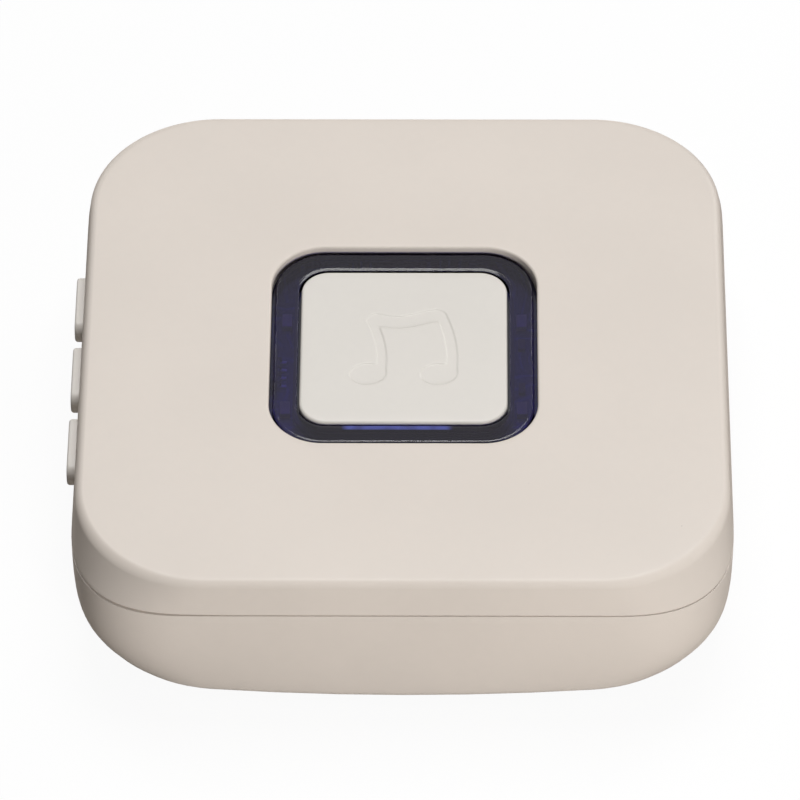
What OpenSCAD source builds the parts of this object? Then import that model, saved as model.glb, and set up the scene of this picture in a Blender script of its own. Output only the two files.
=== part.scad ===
// Call unit with a lit square key on top, three side keys and a battery bay underneath.
// Millimetres, +Z up, the front faces -Y, the side keys are on -X, the feet stand on z = 0.

/* [Body] */
// Width across the seam, left to right
body_w = 76; // [73:1:90]
// Depth across the seam, front to back
body_d = 76; // [74:1:90]
// Drop from the top face to the seam between the shells
seam_drop = 4.95; // [4.4:0.05:5.6]
// Corner radius of the outline at the top face
top_corner_r = 15.2; // [13:0.1:17]
// Reach of the corners of the outline at the seam
seam_corner_r = 14.4; // [12:0.1:16]
// Fullness of the corners at the seam, where 1 makes plain arcs and less is fuller
seam_full = 0.74; // [0.65:0.01:1]
// Corner radius of the outline at the base
base_corner_r = 14.7; // [12:0.1:16]
// How far the base draws in towards its corners
corner_draw = 2.55; // [0.5:0.05:3]
// How far the upper wall leans in at the top face
top_lean = 0.54; // [0:0.01:0.7]
// Rounding of the top edge
rim_r = 0.9; // [0.6:0.1:1.4]
// Rounding of the base edge
base_edge_r = 1.5; // [0.6:0.1:1.8]
// Thickness of the side walls
wall = 1.8; // [1.5:0.1:2.1]
// Thickness of the top panel
roof = 1.95; // [1.4:0.05:2.2]
// Thickness of the floor
floor_t = 2; // [1.8:0.1:2.4]
// Open gap at the seam
seam_gap = 0.12; // [0.05:0.01:0.3]
// Thickness of the lip that locates the shells
lip_t = 0.75; // [0.5:0.05:0.8]
// Height of the lip above the seam
lip_h = 1.2; // [0.8:0.1:1.6]
// Play around the lip
lip_gap = 0.15; // [0.1:0.05:0.25]

/* [Key and light ring] */
// Side of the square opening in the top
opening_w = 31.2; // [30:0.2:33]
// Corner radius of the opening
opening_r = 6.3; // [5:0.1:7]
// Rounding of the opening's edge
opening_edge_r = 0.3; // [0.2:0.05:1]
// Gap between the opening and the light ring
ring_gap = 0.4; // [0.3:0.05:0.6]
// Gap between the light ring and the key
key_gap = 0.3; // [0.2:0.05:0.4]
// Depth of the light ring below the top face
ring_drop = 0.75; // [0.3:0.05:0.9]
// Rounding of the light ring's edges
ring_edge_r = 0.1; // [0.05:0.05:0.3]
// Reach of the ring's flange under the top panel
ring_flange = 1; // [0.6:0.1:1.4]
// Thickness of the ring's flange
ring_flange_t = 0.5; // [0.4:0.05:0.8]
// Width of the light ring
ring_w = 2.8; // [2.4:0.1:3.2]
// Corner radius of the key
key_corner_r = 3.25; // [2.5:0.05:4]
// Rounding of the key's top edge
key_edge_r = 0.35; // [0.2:0.05:0.8]
// Depth of the key below the top face
key_drop = 0.65; // [0.3:0.05:0.8]
// Thickness of the key's top
key_skin = 1.3; // [1:0.1:1.5]
// Thickness of the key's skirt
key_wall = 1.3; // [1:0.1:1.8]
// Reach of the key's flange under the light ring
key_flange = 0.8; // [0.5:0.05:0.9]
// Thickness of the key's flange
key_flange_t = 0.55; // [0.4:0.05:0.6]
// Play between the key's flange and the light ring
key_play = 0.15; // [0.05:0.05:0.2]
// Travel of the key
key_travel = 0.3; // [0.2:0.05:0.3]
// Diameter of the post under the key
key_post_d = 5; // [3:0.5:8]
// Depth of the note symbol
note_depth = 0.15; // [0.1:0.05:0.4]
// Distance between the two note heads
note_span = 8.3; // [7:0.1:9]
// Length of a note head
note_head_l = 4.5; // [4:0.1:5]
// Width of a note head
note_head_w = 3.4; // [3:0.1:4]
// Width of a note stem
note_stem_w = 1.1; // [0.8:0.1:1.4]
// Height of the notes from head to beam
note_rise = 9.3; // [7:0.1:9.6]
// Rise of the beam from its left end to its right end
note_slant = 1; // [0.5:0.1:1.4]
// Thickness of the beam
note_beam_t = 1.8; // [1.2:0.1:2.2]

/* [Side keys] */
// Length of a side key along the wall
side_len = 9.2; // [7:0.1:9.6]
// Height of a side key
side_h = 3; // [3:0.1:4]
// Drop from the seam to the middle of a side key
side_sink = 1.6; // [1.6:0.05:2]
// How far a side key stands out of the wall
side_out = 1; // [0.6:0.1:1.6]
// Distance between side keys
side_pitch = 11.4; // [10.4:0.1:13]
// Corner radius of a side key
side_corner_r = 1.4; // [0.5:0.1:1.4]
// Rounding of a side key's outer edge
side_edge_r = 0.35; // [0.2:0.05:0.45]
// Gap around a side key in its slot
side_gap = 0.2; // [0.1:0.05:0.3]
// Reach of a side key's flange behind the wall
side_flange = 0.6; // [0.5:0.05:0.75]
// Thickness of a side key's flange
side_flange_t = 0.8; // [0.6:0.05:0.9]
// Play between a side key's flange and the wall
side_play = 0.15; // [0.05:0.05:0.2]
// Travel of a side key
side_travel = 0.3; // [0.2:0.05:0.35]

/* [Board] */
// Thickness of the circuit board
board_t = 1.6; // [1:0.1:2]
// Gap between the battery bay and the board
board_gap = 0.25; // [0.2:0.05:0.6]
// Distance from the side walls to the board's ends
board_in_x = 2.2; // [2.1:0.1:2.6]
// Clearance between the board's edges and the case screws' bosses
board_clear = 1.45; // [1.2:0.05:2]
// Height of the tallest chip on the board
chip_h = 1.75; // [1.5:0.05:2]
// Gap between that chip and the light ring
chip_gap = 0.2; // [0.1:0.05:0.5]
// Place of the memory chip along the ring's left side
memory_y = -1.1; // [-2:0.1:2]
// Pitch of the chips' pins
pin_pitch = 1.27; // [1:0.01:1.27]
// Side of the switch under the key
switch_w = 5.2; // [4.5:0.1:6]
// Height of that switch's body
switch_h = 0.9; // [0.7:0.05:1]
// Height of its stem above the board
stem_h = 1.7; // [1.5:0.05:1.7]
// Diameter of its stem
stem_d = 2.5; // [2:0.1:3]
// Play around every switch stem
stem_play = 0.1; // [0.05:0.01:0.15]
// Length of a side switch along the wall
side_switch_l = 4.7; // [4:0.1:5.5]
// Depth of a side switch
side_switch_d = 3.5; // [3:0.1:4]
// Height of a side switch
side_switch_h = 1.9; // [1.7:0.1:2]
// Diameter of a side switch's stem
side_stem_d = 1.4; // [1:0.1:1.5]
// How far that stem stands out of its switch
side_stem_out = 0.65; // [0.5:0.05:0.8]
// Distance of a lamp from the middle of its side
led_offset = 7; // [5:0.1:8]

/* [Batteries] */
// Diameter of a cell
cell_d = 10.5; // [9.5:0.1:10.5]
// Length of a cell with its tip
cell_len = 44.5; // [42:0.5:44.5]
// Clearance above and below a cell
cell_gap = 0.2; // [0.1:0.05:0.4]
// Clearance beside a cell
cell_side = 0.6; // [0.3:0.1:0.7]
// Room for a contact at each end of the bay
contact_room = 3.3; // [2.8:0.1:3.6]
// Thickness of the contact strip
strip_t = 0.4; // [0.3:0.05:0.5]
// Thickness of the bay's walls
bay_wall = 1.4; // [1.2:0.1:1.6]
// Thickness of the bay's roof
bay_roof_t = 1; // [0.6:0.1:1.4]
// Distance from the right wall to the bay
bay_in = 3; // [2:0.1:3.2]
// Thickness of the battery door
door_t = 1.5; // [1.3:0.1:1.6]
// Overlap of the door on the bay's walls
door_lap = 0.8; // [0.6:0.05:0.9]
// Gap around the door
door_gap = 0.15; // [0.1:0.05:0.25]
// Length of the door's tabs
tab_len = 1; // [0.7:0.05:1.1]
// Width of the door's tabs
tab_w = 4; // [3:0.5:6]
// Distance between the middles of the tabs
tab_span = 14; // [10:0.5:16]

/* [Speaker] */
// Radius of the speaker
spk_r = 14.4; // [12:0.1:14.6]
// Distance from the left wall to the speaker's axis
spk_in = 21.2; // [19:0.1:22]
// Thickness of the foam ring under the speaker
gasket_t = 0.6; // [0.4:0.1:1]
// Width of a sound slot
slot_w = 1.4; // [1:0.1:1.8]
// Distance between sound slots
slot_pitch = 3; // [2.6:0.1:3.6]

/* [Fixings and feet] */
// Distance of the case screws from the side walls
screw_in_x = 10.2; // [9.8:0.1:10.8]
// Place of the case screws on the way from the battery bay's ends to the walls
screw_share = 0.4; // [0.37:0.01:0.41]
// Diameter of the case screws
screw_d = 2.4; // [2:0.1:2.6]
// Diameter of the case screws' heads
screw_head_d = 4.2; // [3.6:0.1:4.4]
// Depth of the screw seats above the base
screw_seat = 4.4; // [3.5:0.1:5]
// Diameter of the board screws
board_screw_d = 1.8; // [1.6:0.1:2]
// Diameter of the board screws' heads
board_screw_head_d = 3.4; // [3:0.1:4]
// Radial play between a screw and its hole
screw_play = 0.05; // [0.03:0.01:0.1]
// Diameter of a foot
foot_d = 5.5; // [4:0.5:6]
// Thickness of a foot
foot_t = 1.2; // [1:0.1:1.4]
// How far the feet stand out of the base
foot_out = 0.6; // [0.4:0.1:0.8]
// Distance of the feet from the side walls
foot_in_x = 21.2; // [20:0.1:23]

/* [Hidden] */
$fn = 48;

// Colours
ivory = [0.86, 0.83, 0.79];
off_white = [0.87, 0.86, 0.83];
smoke = [0.16, 0.16, 0.24, 0.75];
blue_board = [0.10, 0.16, 0.42];
black_plastic = [0.08, 0.08, 0.09];
tin = [0.75, 0.75, 0.77];
steel = [0.62, 0.63, 0.65];
brass_tone = [0.80, 0.66, 0.35];
rubber = [0.12, 0.12, 0.12];

// Cutters run past the faces they cut by this much
past = 1;
// Joined shapes run into each other by this much
bite = 0.1;

// Height stack, from the feet up
base_z = foot_out;
floor_z = base_z + floor_t;
door_top = base_z + door_t;
cell_z = door_top + cell_gap + cell_d / 2;
bay_z = door_top + 2 * cell_gap + cell_d;
bay_top = bay_z + bay_roof_t;
board_z = bay_top + board_gap;
board_top = board_z + board_t;
ring_z = board_top + chip_h + chip_gap;
roof_z = ring_z + ring_flange_t;
top_z = roof_z + roof;
seam_z = top_z - seam_drop;
ring_top = top_z - ring_drop;
key_top = top_z - key_drop;
key_flange_top = ring_z - key_play;
stem_top = board_top + stem_h;

// Inside of the shells
in_x = body_w / 2 - wall;
in_y = body_d / 2 - wall;
cavity_r = max(top_corner_r, base_corner_r);

// Key and the middle line of the light ring around it
key_w = opening_w - 2 * (ring_gap + ring_w + key_gap);
ring_mid = (opening_w / 2 - ring_gap + key_w / 2 + key_gap) / 2;

// Battery bay
cell_pitch = cell_d + cell_side;
bay_w = 2 * cell_pitch;
bay_l = cell_len + 2 * contact_room;
bay_x = in_x - bay_in - bay_wall - bay_w / 2;
door_w = bay_w + 2 * door_lap;
door_l = bay_l + 2 * door_lap;
bay_end = bay_l / 2 + bay_wall;
door_corner_r = 1;
door_head_play = 0.1;
tab_z = base_z + door_t / 2;
tab_play = 0.3;
cell_tip_d = 3.8;
cell_tip_l = 1;
strip_w = 8.6;
strip_foot = 0.6;
strip_head = 0.3;
tie_w = 2;
tie_play = 0.3;
contact_play = 0.05;
cup_wall = 0.6;

// Case screws
screw_x = in_x - screw_in_x;
screw_y = mix(bay_end, in_y, screw_share);
boss_wall = 1.5;
boss_r = screw_d / 2 + boss_wall;
pillar_wall = 1.3;
pillar_r = screw_head_d / 2 + pillar_wall;
head_play = 0.3;
seat_z = base_z + screw_seat;
split_drop = 2.2;
split_z = seam_z - split_drop;
screw_head_h = 1.5;
screw_rise = 0.8;
screw_tip_z = seam_z + screw_rise;
tip_room = 0.6;

// Board and its posts
board_x = in_x - board_in_x;
board_y = screw_y - boss_r - board_clear;
post_wall = 1.6;
post_r = board_screw_d / 2 + post_wall;
post_in_x = 6.7;
post_in_y = 4.5;
post_gap = 0.9;
post_y = board_y - post_in_y;
post_left_x = -(in_x - post_in_x);
post_mid_x = bay_x - bay_w / 2 - bay_wall - post_r - post_gap;
board_screw_l = 7;
board_screw_head_h = 1.2;
cross_share = 0.62;

// Feet
foot_x = in_x - foot_in_x;
foot_room = body_d / 2 - base_edge_r - door_l / 2 - door_gap;
foot_y = body_d / 2 - base_edge_r - foot_room / 2;
foot_play = 0.1;

// Side keys and their switches
side_face = in_x - side_play - side_flange_t;
side_switch_x = side_face - side_stem_out;
side_stem_in = 1.25;
side_rows = [side_pitch, 0, -side_pitch];
side_z = seam_z - side_sink;

// Speaker
spk_x = -(in_x - spk_in);
spk_z = floor_z + gasket_t;
spk_lip = 2.2;
spk_depth = 3.6;
spk_sheet = 0.8;
spk_plate_r = 9;
spk_tag = 3;
spk_tag_y = spk_plate_r - spk_tag / 2;
spk_rim_gap = 0.2;
spk_rim_t = 1.2;
spk_rim_h = 3.5;

// Receiver board under the main board
radio_off = 3;
radio_x = spk_x + radio_off;
radio_y = post_y - radio_off;
radio_t = 0.8;
radio_l = 14;
radio_w = 9;

function mix(a, b, t) = a + (b - a) * t;

// Points of a rounded rectangle, arc_n steps a corner and side_n steps a side; full below 1 fills the corners
function filled(u, full) = sign(u) * pow(abs(u), full);
function corner(sx, sy, hx, hy, r, a0, arc_n, full) =
  [for (i = [0:arc_n]) let (a = a0 + 90 * i / arc_n)
    [sx * (hx - r) + r * filled(cos(a), full), sy * (hy - r) + r * filled(sin(a), full)]];
function between(p, q, side_n) = [for (i = [1:1:side_n - 1]) p + (q - p) * i / side_n];
function outline(hx, hy, r, arc_n, side_n, full) =
  let (c = [
    corner(1, 1, hx, hy, r, 0, arc_n, full), corner(-1, 1, hx, hy, r, 90, arc_n, full),
    corner(-1, -1, hx, hy, r, 180, arc_n, full), corner(1, -1, hx, hy, r, 270, arc_n, full)
  ])
  [for (k = [0:3]) each concat(c[k], between(c[k][arc_n], c[(k + 1) % 4][0], side_n))];

// The same outline at height z, with its corners drawn in by draw
function ring(hx, hy, r, z, draw = 0, arc_n = 8, side_n = 1, full = 1) =
  [for (p = outline(hx, hy, r, arc_n, side_n, full))
    [p.x * (1 - draw / hx * pow(p.y / hy, 2)), p.y * (1 - draw / hy * pow(p.x / hx, 2)), z]];

// Closed solid through a stack of outlines, lowest first, with its ends fanned from their middles
module skin(rings) {
  n = len(rings[0]);
  m = len(rings);
  low = m * n;
  high = low + 1;
  sides = [for (k = [0:m - 2], i = [0:n - 1]) let (j = (i + 1) % n)
    each [[k * n + i, k * n + n + i, k * n + n + j], [k * n + i, k * n + n + j, k * n + j]]];
  ends = [for (i = [0:n - 1]) let (j = (i + 1) % n)
    each [[low, i, j], [high, (m - 1) * n + j, (m - 1) * n + i]]];
  polyhedron(
    points = concat([for (r = rings) each r], [[0, 0, rings[0][0].z], [0, 0, rings[m - 1][0].z]]),
    faces = concat(sides, ends)
  );
}

// Outlines of a straight block whose top edge is rounded
function block_rings(hx, hy, r, z0, z1, edge, steps = 4) = concat(
  [ring(hx, hy, r, z0)],
  [for (i = [0:steps]) let (a = 90 * i / steps, k = edge * (1 - cos(a)))
    ring(hx - k, hy - k, r - k, z1 - edge + edge * sin(a))]);

// Outlines of a hole whose top edge flares out
function mouth_rings(h, r, z0, z1, edge, steps = 4) = concat(
  [ring(h, h, r, z0)],
  [for (i = [0:steps]) let (a = 90 * i / steps, k = edge * (1 - cos(a)))
    ring(h + k, h + k, r + k, z1 - edge + edge * sin(a))],
  [ring(h + edge, h + edge, r + edge, z1 + past)]);

module rounded_rect(w, d, r) {
  square([w - 2 * r, d], center = true);
  square([w, d - 2 * r], center = true);
  for (sx = [-1, 1], sy = [-1, 1])
    translate([sx * (w / 2 - r), sy * (d / 2 - r)]) circle(r);
}

module slab(w, d, r, z0, z1) {
  translate([0, 0, z0]) linear_extrude(z1 - z0) rounded_rect(w, d, r);
}

// Box from its middle in X and Y, between two heights
module box(x, y, w, d, z0, z1) {
  translate([x - w / 2, y - d / 2, z0]) cube([w, d, z1 - z0]);
}

module rod(x, y, r, z0, z1) {
  translate([x, y, z0]) cylinder(r = r, h = z1 - z0);
}

// Inside of both shells, grown sideways for the lip and its groove
module cavity(grow, z0, z1) {
  slab(2 * (in_x + grow), 2 * (in_y + grow), cavity_r + grow, z0, z1);
}

module at_screws() {
  for (sx = [-1, 1], sy = [-1, 1]) translate([sx * screw_x, sy * screw_y, 0]) children();
}

module at_posts() {
  for (x = [post_left_x, post_mid_x], sy = [-1, 1]) translate([x, sy * post_y, 0]) children();
}

module at_feet() {
  for (sx = [-1, 1], sy = [-1, 1]) translate([sx * foot_x, sy * foot_y, 0]) children();
}

// Slots through the left wall for the side keys
module side_slots() {
  for (y = side_rows)
    translate([-body_w / 2 - past, y, side_z]) rotate([90, 0, 90]) linear_extrude(wall + 2 * past)
      rounded_rect(side_len + 2 * side_gap, side_h + 2 * side_gap, side_corner_r + side_gap);
}

// Gaps in the lip above the side keys
module lip_gaps() {
  for (y = side_rows)
    box(-in_x, y, 2 * lip_t + past, side_len + 2 * side_gap, seam_z, seam_z + lip_h + past);
}

// Outline of the cover at height z, set in by k where the rim is rounded
wall_arc = 18;
wall_side = 6;
function cover_ring(z, k) =
  let (q = (z - seam_z) / seam_drop, in = top_lean * q + k)
  ring(body_w / 2 - in, body_d / 2 - in, mix(seam_corner_r, top_corner_r, q) - k, z, 0,
       wall_arc, wall_side, mix(seam_full, 1, q));

// Upper wall from the seam to the rounded rim
cover_wall_n = 4;
rim_n = 6;
cover_rings = concat(
  [for (i = [0:cover_wall_n]) cover_ring(mix(seam_z + seam_gap, top_z - rim_r, i / cover_wall_n), 0)],
  [for (i = [1:rim_n]) let (a = 90 * i / rim_n)
    cover_ring(top_z - rim_r * (1 - sin(a)), rim_r * (1 - cos(a)))]);

// Outline of the case at height z, set in by k where the base edge is rounded
function case_ring(z, k) =
  let (q = pow((seam_z - z) / (seam_z - base_z), 3))
  ring(body_w / 2 - k, body_d / 2 - k, mix(seam_corner_r, base_corner_r, q) - k, z, corner_draw * q,
       wall_arc, wall_side, mix(seam_full, 1, q));

// Lower wall from the rounded base edge to the seam
case_wall_n = 9;
base_n = 5;
case_rings = concat(
  [for (i = [0:base_n - 1]) let (a = 90 - 90 * i / base_n)
    case_ring(base_z + base_edge_r * (1 - sin(a)), base_edge_r * (1 - cos(a)))],
  [for (i = [0:case_wall_n]) case_ring(mix(base_z + base_edge_r, seam_z, i / case_wall_n), 0)]);

module top_cover() {
  color(ivory) difference() {
    union() {
      difference() {
        skin(cover_rings);
        cavity(0, seam_z - past, roof_z);
        cavity(lip_t + lip_gap, seam_z - past, seam_z + lip_h + lip_gap);
        skin(mouth_rings(opening_w / 2, opening_r, roof_z - past, top_z, opening_edge_r));
      }
      at_screws() rod(0, 0, boss_r, split_z, roof_z + roof / 2);
    }
    at_screws() rod(0, 0, screw_d / 2 + screw_play, split_z - past, screw_tip_z + tip_room);
    side_slots();
  }
}

module sound_slots() {
  reach = spk_r - spk_lip - slot_w;
  least = 0.2;
  rows = floor(reach / slot_pitch);
  for (i = [-rows:rows]) {
    half = sqrt(pow(reach, 2) - pow(i * slot_pitch, 2)) + least;
    translate([spk_x, i * slot_pitch, base_z - past]) linear_extrude(floor_t + 2 * past) {
      square([2 * half, slot_w], center = true);
      for (s = [-1, 1]) translate([s * half, 0]) circle(slot_w / 2);
    }
  }
}

module bay_block() {
  box(bay_x, 0, bay_w + 2 * bay_wall, bay_l + 2 * bay_wall, base_z + floor_t / 2, bay_top);
}

// Room in the bay, the recess for the door, its tab slots and a notch for a fingertip
module bay_cuts() {
  recess_w = door_w + 2 * door_gap;
  recess_l = door_l + 2 * door_gap;
  slot_l = tab_len + door_gap + tab_play;
  notch_r = 3;
  notch_h = 0.8;
  box(bay_x, 0, bay_w, bay_l, base_z - past, bay_z);
  translate([bay_x, 0, 0])
    slab(recess_w, recess_l, door_corner_r + door_gap, base_z - past, door_top + door_head_play);
  for (s = [-1, 1])
    box(bay_x + s * tab_span / 2, recess_l / 2 + slot_l / 2 - past / 2, tab_w + 2 * tab_play, slot_l + past,
        tab_z - tab_play, floor_z + past / 2);
  rod(bay_x, -recess_l / 2, notch_r, base_z - past, base_z + notch_h);
  for (s = [-1, 1])
    box(bay_x + s * cell_pitch / 2, -(bay_l - strip_t) / 2, tie_w + 2 * tie_play, strip_t + 2 * tie_play,
        bay_z - past, bay_top + past);
}

module bottom_case() {
  pad = 3;
  color(ivory) difference() {
    union() {
      difference() {
        union() {
          skin(case_rings);
          cavity(lip_t, seam_z - past, seam_z + lip_h);
        }
        cavity(0, floor_z, seam_z + lip_h + past);
      }
      bay_block();
      for (sy = [-1, 1])
        box(bay_x + cell_pitch / 2, sy * bay_l / 4, pad, pad, bay_top - bay_roof_t / 2, board_z);
      at_screws() rod(0, 0, pillar_r, base_z + floor_t / 2, split_z);
      at_posts() rod(0, 0, post_r, base_z + floor_t / 2, board_z);
      difference() {
        rod(spk_x, 0, spk_r + spk_rim_gap + spk_rim_t, base_z + floor_t / 2, floor_z + spk_rim_h);
        rod(spk_x, 0, spk_r + spk_rim_gap, floor_z, floor_z + spk_rim_h + past);
      }
    }
    bay_cuts();
    sound_slots();
    side_slots();
    lip_gaps();
    at_screws() rod(0, 0, screw_head_d / 2 + head_play, base_z - past, seat_z);
    at_screws() rod(0, 0, screw_d / 2 + screw_play, base_z, split_z + past);
    at_posts() rod(0, 0, board_screw_d / 2 + screw_play, board_z - board_screw_l, board_z + past);
    at_feet() rod(0, 0, foot_d / 2 + foot_play, base_z - past, foot_t);
  }
}

module light_ring() {
  outer = opening_w / 2 - ring_gap;
  inner = key_w / 2 + key_gap;
  flange = opening_w + 2 * ring_flange;
  color(smoke) difference() {
    union() {
      skin(block_rings(outer, outer, opening_r - ring_gap, ring_z, ring_top, ring_edge_r));
      slab(flange, flange, opening_r + ring_flange, ring_z, roof_z);
    }
    skin(mouth_rings(inner, key_corner_r + key_gap, ring_z - past, ring_top, ring_edge_r));
  }
}

// Point on a note stem, t from 0 at the head to 1 at the beam, leaning back as it rises
function stem_edge(x, lean, t) = [x - lean * t * t, note_rise * t];

module note_stem(x, lean) {
  steps = 8;
  polygon(concat(
    [for (i = [0:steps]) stem_edge(x, lean, i / steps)],
    [for (i = [steps:-1:0]) stem_edge(x - note_stem_w, lean, i / steps)]));
}

module note_head(x) {
  steps = 40;
  tilt = 12;
  rot = [[cos(tilt), -sin(tilt)], [sin(tilt), cos(tilt)]];
  polygon([for (i = [0:steps - 1]) let (a = 360 * i / steps)
    [x, 0] + rot * [note_head_l / 2 * cos(a), note_head_w / 2 * sin(a)]]);
}

// Pair of beamed notes, its lower left head at the origin
module note_symbol() {
  steps = 10;
  left_lean = 0.6;
  right_lean = 1.6;
  sag = 0.45;
  stem_share = 0.98;
  edge_x = note_head_l / 2 * stem_share;
  x0 = edge_x - note_stem_w - left_lean;
  x1 = note_span + edge_x - right_lean;
  function beam(u) = [mix(x0, x1, u), note_rise - note_beam_t / 2 + note_slant * u - sag * sin(180 * u)];
  for (x = [0, note_span]) note_head(x);
  note_stem(edge_x, left_lean);
  note_stem(note_span + edge_x, right_lean);
  polygon(concat(
    [for (i = [0:steps]) beam(i / steps) + [0, note_beam_t / 2]],
    [for (i = [steps:-1:0]) beam(i / steps) - [0, note_beam_t / 2]]));
}

module call_button() {
  flange = key_w + 2 * key_flange;
  pocket = key_w - 2 * key_wall;
  flange_z = key_flange_top - key_flange_t;
  symbol_h = note_rise + note_slant + note_head_w / 2;
  color(off_white) difference() {
    union() {
      difference() {
        union() {
          skin(block_rings(key_w / 2, key_w / 2, key_corner_r, flange_z, key_top, key_edge_r));
          slab(flange, flange, key_corner_r + key_flange, flange_z, key_flange_top);
        }
        slab(pocket, pocket, key_corner_r - key_wall / 2, flange_z - past, key_top - key_skin);
      }
      rod(0, 0, key_post_d / 2, stem_top, key_top - key_skin / 2);
    }
    translate([-note_span / 2, note_head_w / 2 - symbol_h / 2, key_top - note_depth])
      linear_extrude(note_depth + past) note_symbol();
  }
}

module call_switch() {
  leg_w = 0.8;
  leg_t = 0.2;
  color(tin) difference() {
    union() {
      box(0, 0, switch_w, switch_w, board_top, board_top + switch_h);
      for (s = [-1, 1])
        box(0, s * switch_w / 4, switch_w + 2 * leg_w, leg_w, board_top, board_top + leg_t);
    }
    rod(0, 0, stem_d / 2 + stem_play, board_top - past, board_top + switch_h + past);
  }
}

module call_switch_stem() {
  foot = 0.05;
  color(black_plastic) rod(0, 0, stem_d / 2, board_top + key_travel + foot, stem_top);
}

module side_button(y) {
  reach = body_w / 2 + side_out;
  flange_l = min(side_len + 2 * side_flange, side_pitch - 2 * side_gap);
  flange_h = side_h + 2 * side_flange;
  color(off_white) {
    translate([0, y, side_z]) rotate([0, -90, 0])
      skin(block_rings(side_h / 2, side_len / 2, side_corner_r, side_face, reach, side_edge_r));
    translate([-side_face - side_flange_t, y - flange_l / 2, side_z - flange_h / 2])
      cube([side_flange_t, flange_l, flange_h]);
  }
}

module volume_up_button() { side_button(side_rows[0]); }
module melody_button() { side_button(side_rows[1]); }
module volume_down_button() { side_button(side_rows[2]); }

module side_bore(y, r, x0, x1) {
  translate([-x1, y, board_z - side_switch_h / 2]) rotate([0, 90, 0]) cylinder(r = r, h = x1 - x0);
}

module side_switches() {
  depth = side_stem_in + side_travel + stem_play;
  color(black_plastic) for (y = side_rows) difference() {
    box(-side_switch_x + side_switch_d / 2, y, side_switch_d, side_switch_l,
        board_z - side_switch_h, board_z);
    side_bore(y, side_stem_d / 2 + stem_play, side_switch_x - depth, side_switch_x + past);
  }
}

module side_stem(y) {
  color(off_white) side_bore(y, side_stem_d / 2, side_switch_x - side_stem_in, side_face);
}

module volume_up_stem() { side_stem(side_rows[0]); }
module melody_stem() { side_stem(side_rows[1]); }
module volume_down_stem() { side_stem(side_rows[2]); }

module circuit_board() {
  color(blue_board) difference() {
    box(0, 0, 2 * board_x, 2 * board_y, board_z, board_top);
    at_posts() rod(0, 0, board_screw_d / 2 + 2 * screw_play, board_z - past, board_top + past);
  }
}

// Repeats along the four sides of the light ring
module along_ring(offset) {
  for (a = [0:90:270]) rotate([0, 0, a]) translate([ring_mid, offset, 0]) children();
}

module ring_leds() {
  led_w = 1.2;
  led_l = 2;
  led_h = 0.8;
  color([0.95, 0.93, 0.80]) for (s = [-1, 1])
    along_ring(s * led_offset) box(0, 0, led_w, led_l, board_top, board_top + led_h);
}

module board_passives() {
  part_w = 0.8;
  part_l = 1.6;
  part_h = 0.5;
  color([0.45, 0.38, 0.30]) for (a = [0, 90, 270], s = [-1, 1])
    rotate([0, 0, a]) translate([ring_mid, s * led_offset / 2, 0])
      box(0, 0, part_w, part_l, board_top, board_top + part_h);
}

// Chip lying on the board with gull-wing pins on two sides
module chip(x, y, body_x, pins) {
  lead_reach = 1.05;
  lead_w = 0.42;
  lead_t = 0.2;
  knee = 0.45;
  lift = 0.1;
  trim = 0.1;
  body_y = pins * pin_pitch - trim;
  lead_z = board_top + chip_h / 2;
  box(x, y, body_x, body_y, board_top + lift, board_top + chip_h);
  for (i = [0:pins - 1], s = [-1, 1]) {
    pin_y = y + (i - (pins - 1) / 2) * pin_pitch;
    edge = body_x / 2;
    box(x + s * (edge + knee / 2 - lead_t / 2), pin_y, knee + lead_t, lead_w, lead_z - lead_t, lead_z);
    box(x + s * (edge + knee - lead_t / 2), pin_y, lead_t, lead_w, board_top, lead_z);
    box(x + s * (edge + (knee + lead_reach - lead_t) / 2), pin_y, lead_reach - knee + lead_t, lead_w,
        board_top, board_top + lead_t);
  }
}

module memory_chip() {
  body_x = 3.9;
  pins_in = 0.97;
  color(black_plastic) chip(-(ring_mid + pins_in + body_x / 2), memory_y, body_x, 4);
}

module controller_chip() {
  body_x = 5.3;
  end_in = 9.85;
  color(black_plastic) chip(board_x - end_in, memory_y, body_x, 8);
}

module radio_module() {
  color([0.08, 0.30, 0.18]) box(radio_x, radio_y, radio_l, radio_w, board_z - radio_t, board_z);
}

module radio_crystal() {
  can_l = 10.6;
  can_w = 4.4;
  can_h = 3.5;
  can_r = 2.1;
  can_z = board_z - radio_t;
  color(tin) translate([radio_x, radio_y, 0]) slab(can_l, can_w, can_r, can_z - can_h, can_z);
}

// Wire from the board to the back wall, then along it
module antenna_wire() {
  r = 0.5;
  bend = 1.6;
  start = 5;
  edge_in = 1.2;
  wall_in = 1;
  drop = 2;
  x0 = spk_x - start;
  x1 = -x0;
  y0 = board_y - edge_in;
  y1 = in_y - wall_in;
  z0 = board_z - drop;
  color(brass_tone) {
    rod(x0, y0, r, z0 + bend, board_z);
    translate([x0, y0 + bend, z0 + bend]) rotate([90, 0, -90]) rotate_extrude(angle = -90)
      translate([bend, 0]) circle(r);
    translate([x0, y0 + bend, z0]) rotate([-90, 0, 0]) cylinder(r = r, h = y1 - y0 - 2 * bend);
    translate([x0 + bend, y1 - bend, z0]) rotate([0, 0, 90]) rotate_extrude(angle = 90)
      translate([bend, 0]) circle(r);
    translate([x0 + bend, y1, z0]) rotate([0, 90, 0]) cylinder(r = r, h = x1 - x0 - bend);
  }
}

module capacitor() {
  can_d = 5;
  can_h = 7;
  off_x = 10;
  off_y = 5;
  color([0.15, 0.17, 0.30]) rod(spk_x - off_x, off_y - post_y, can_d / 2, board_z - can_h, board_z);
}

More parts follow.
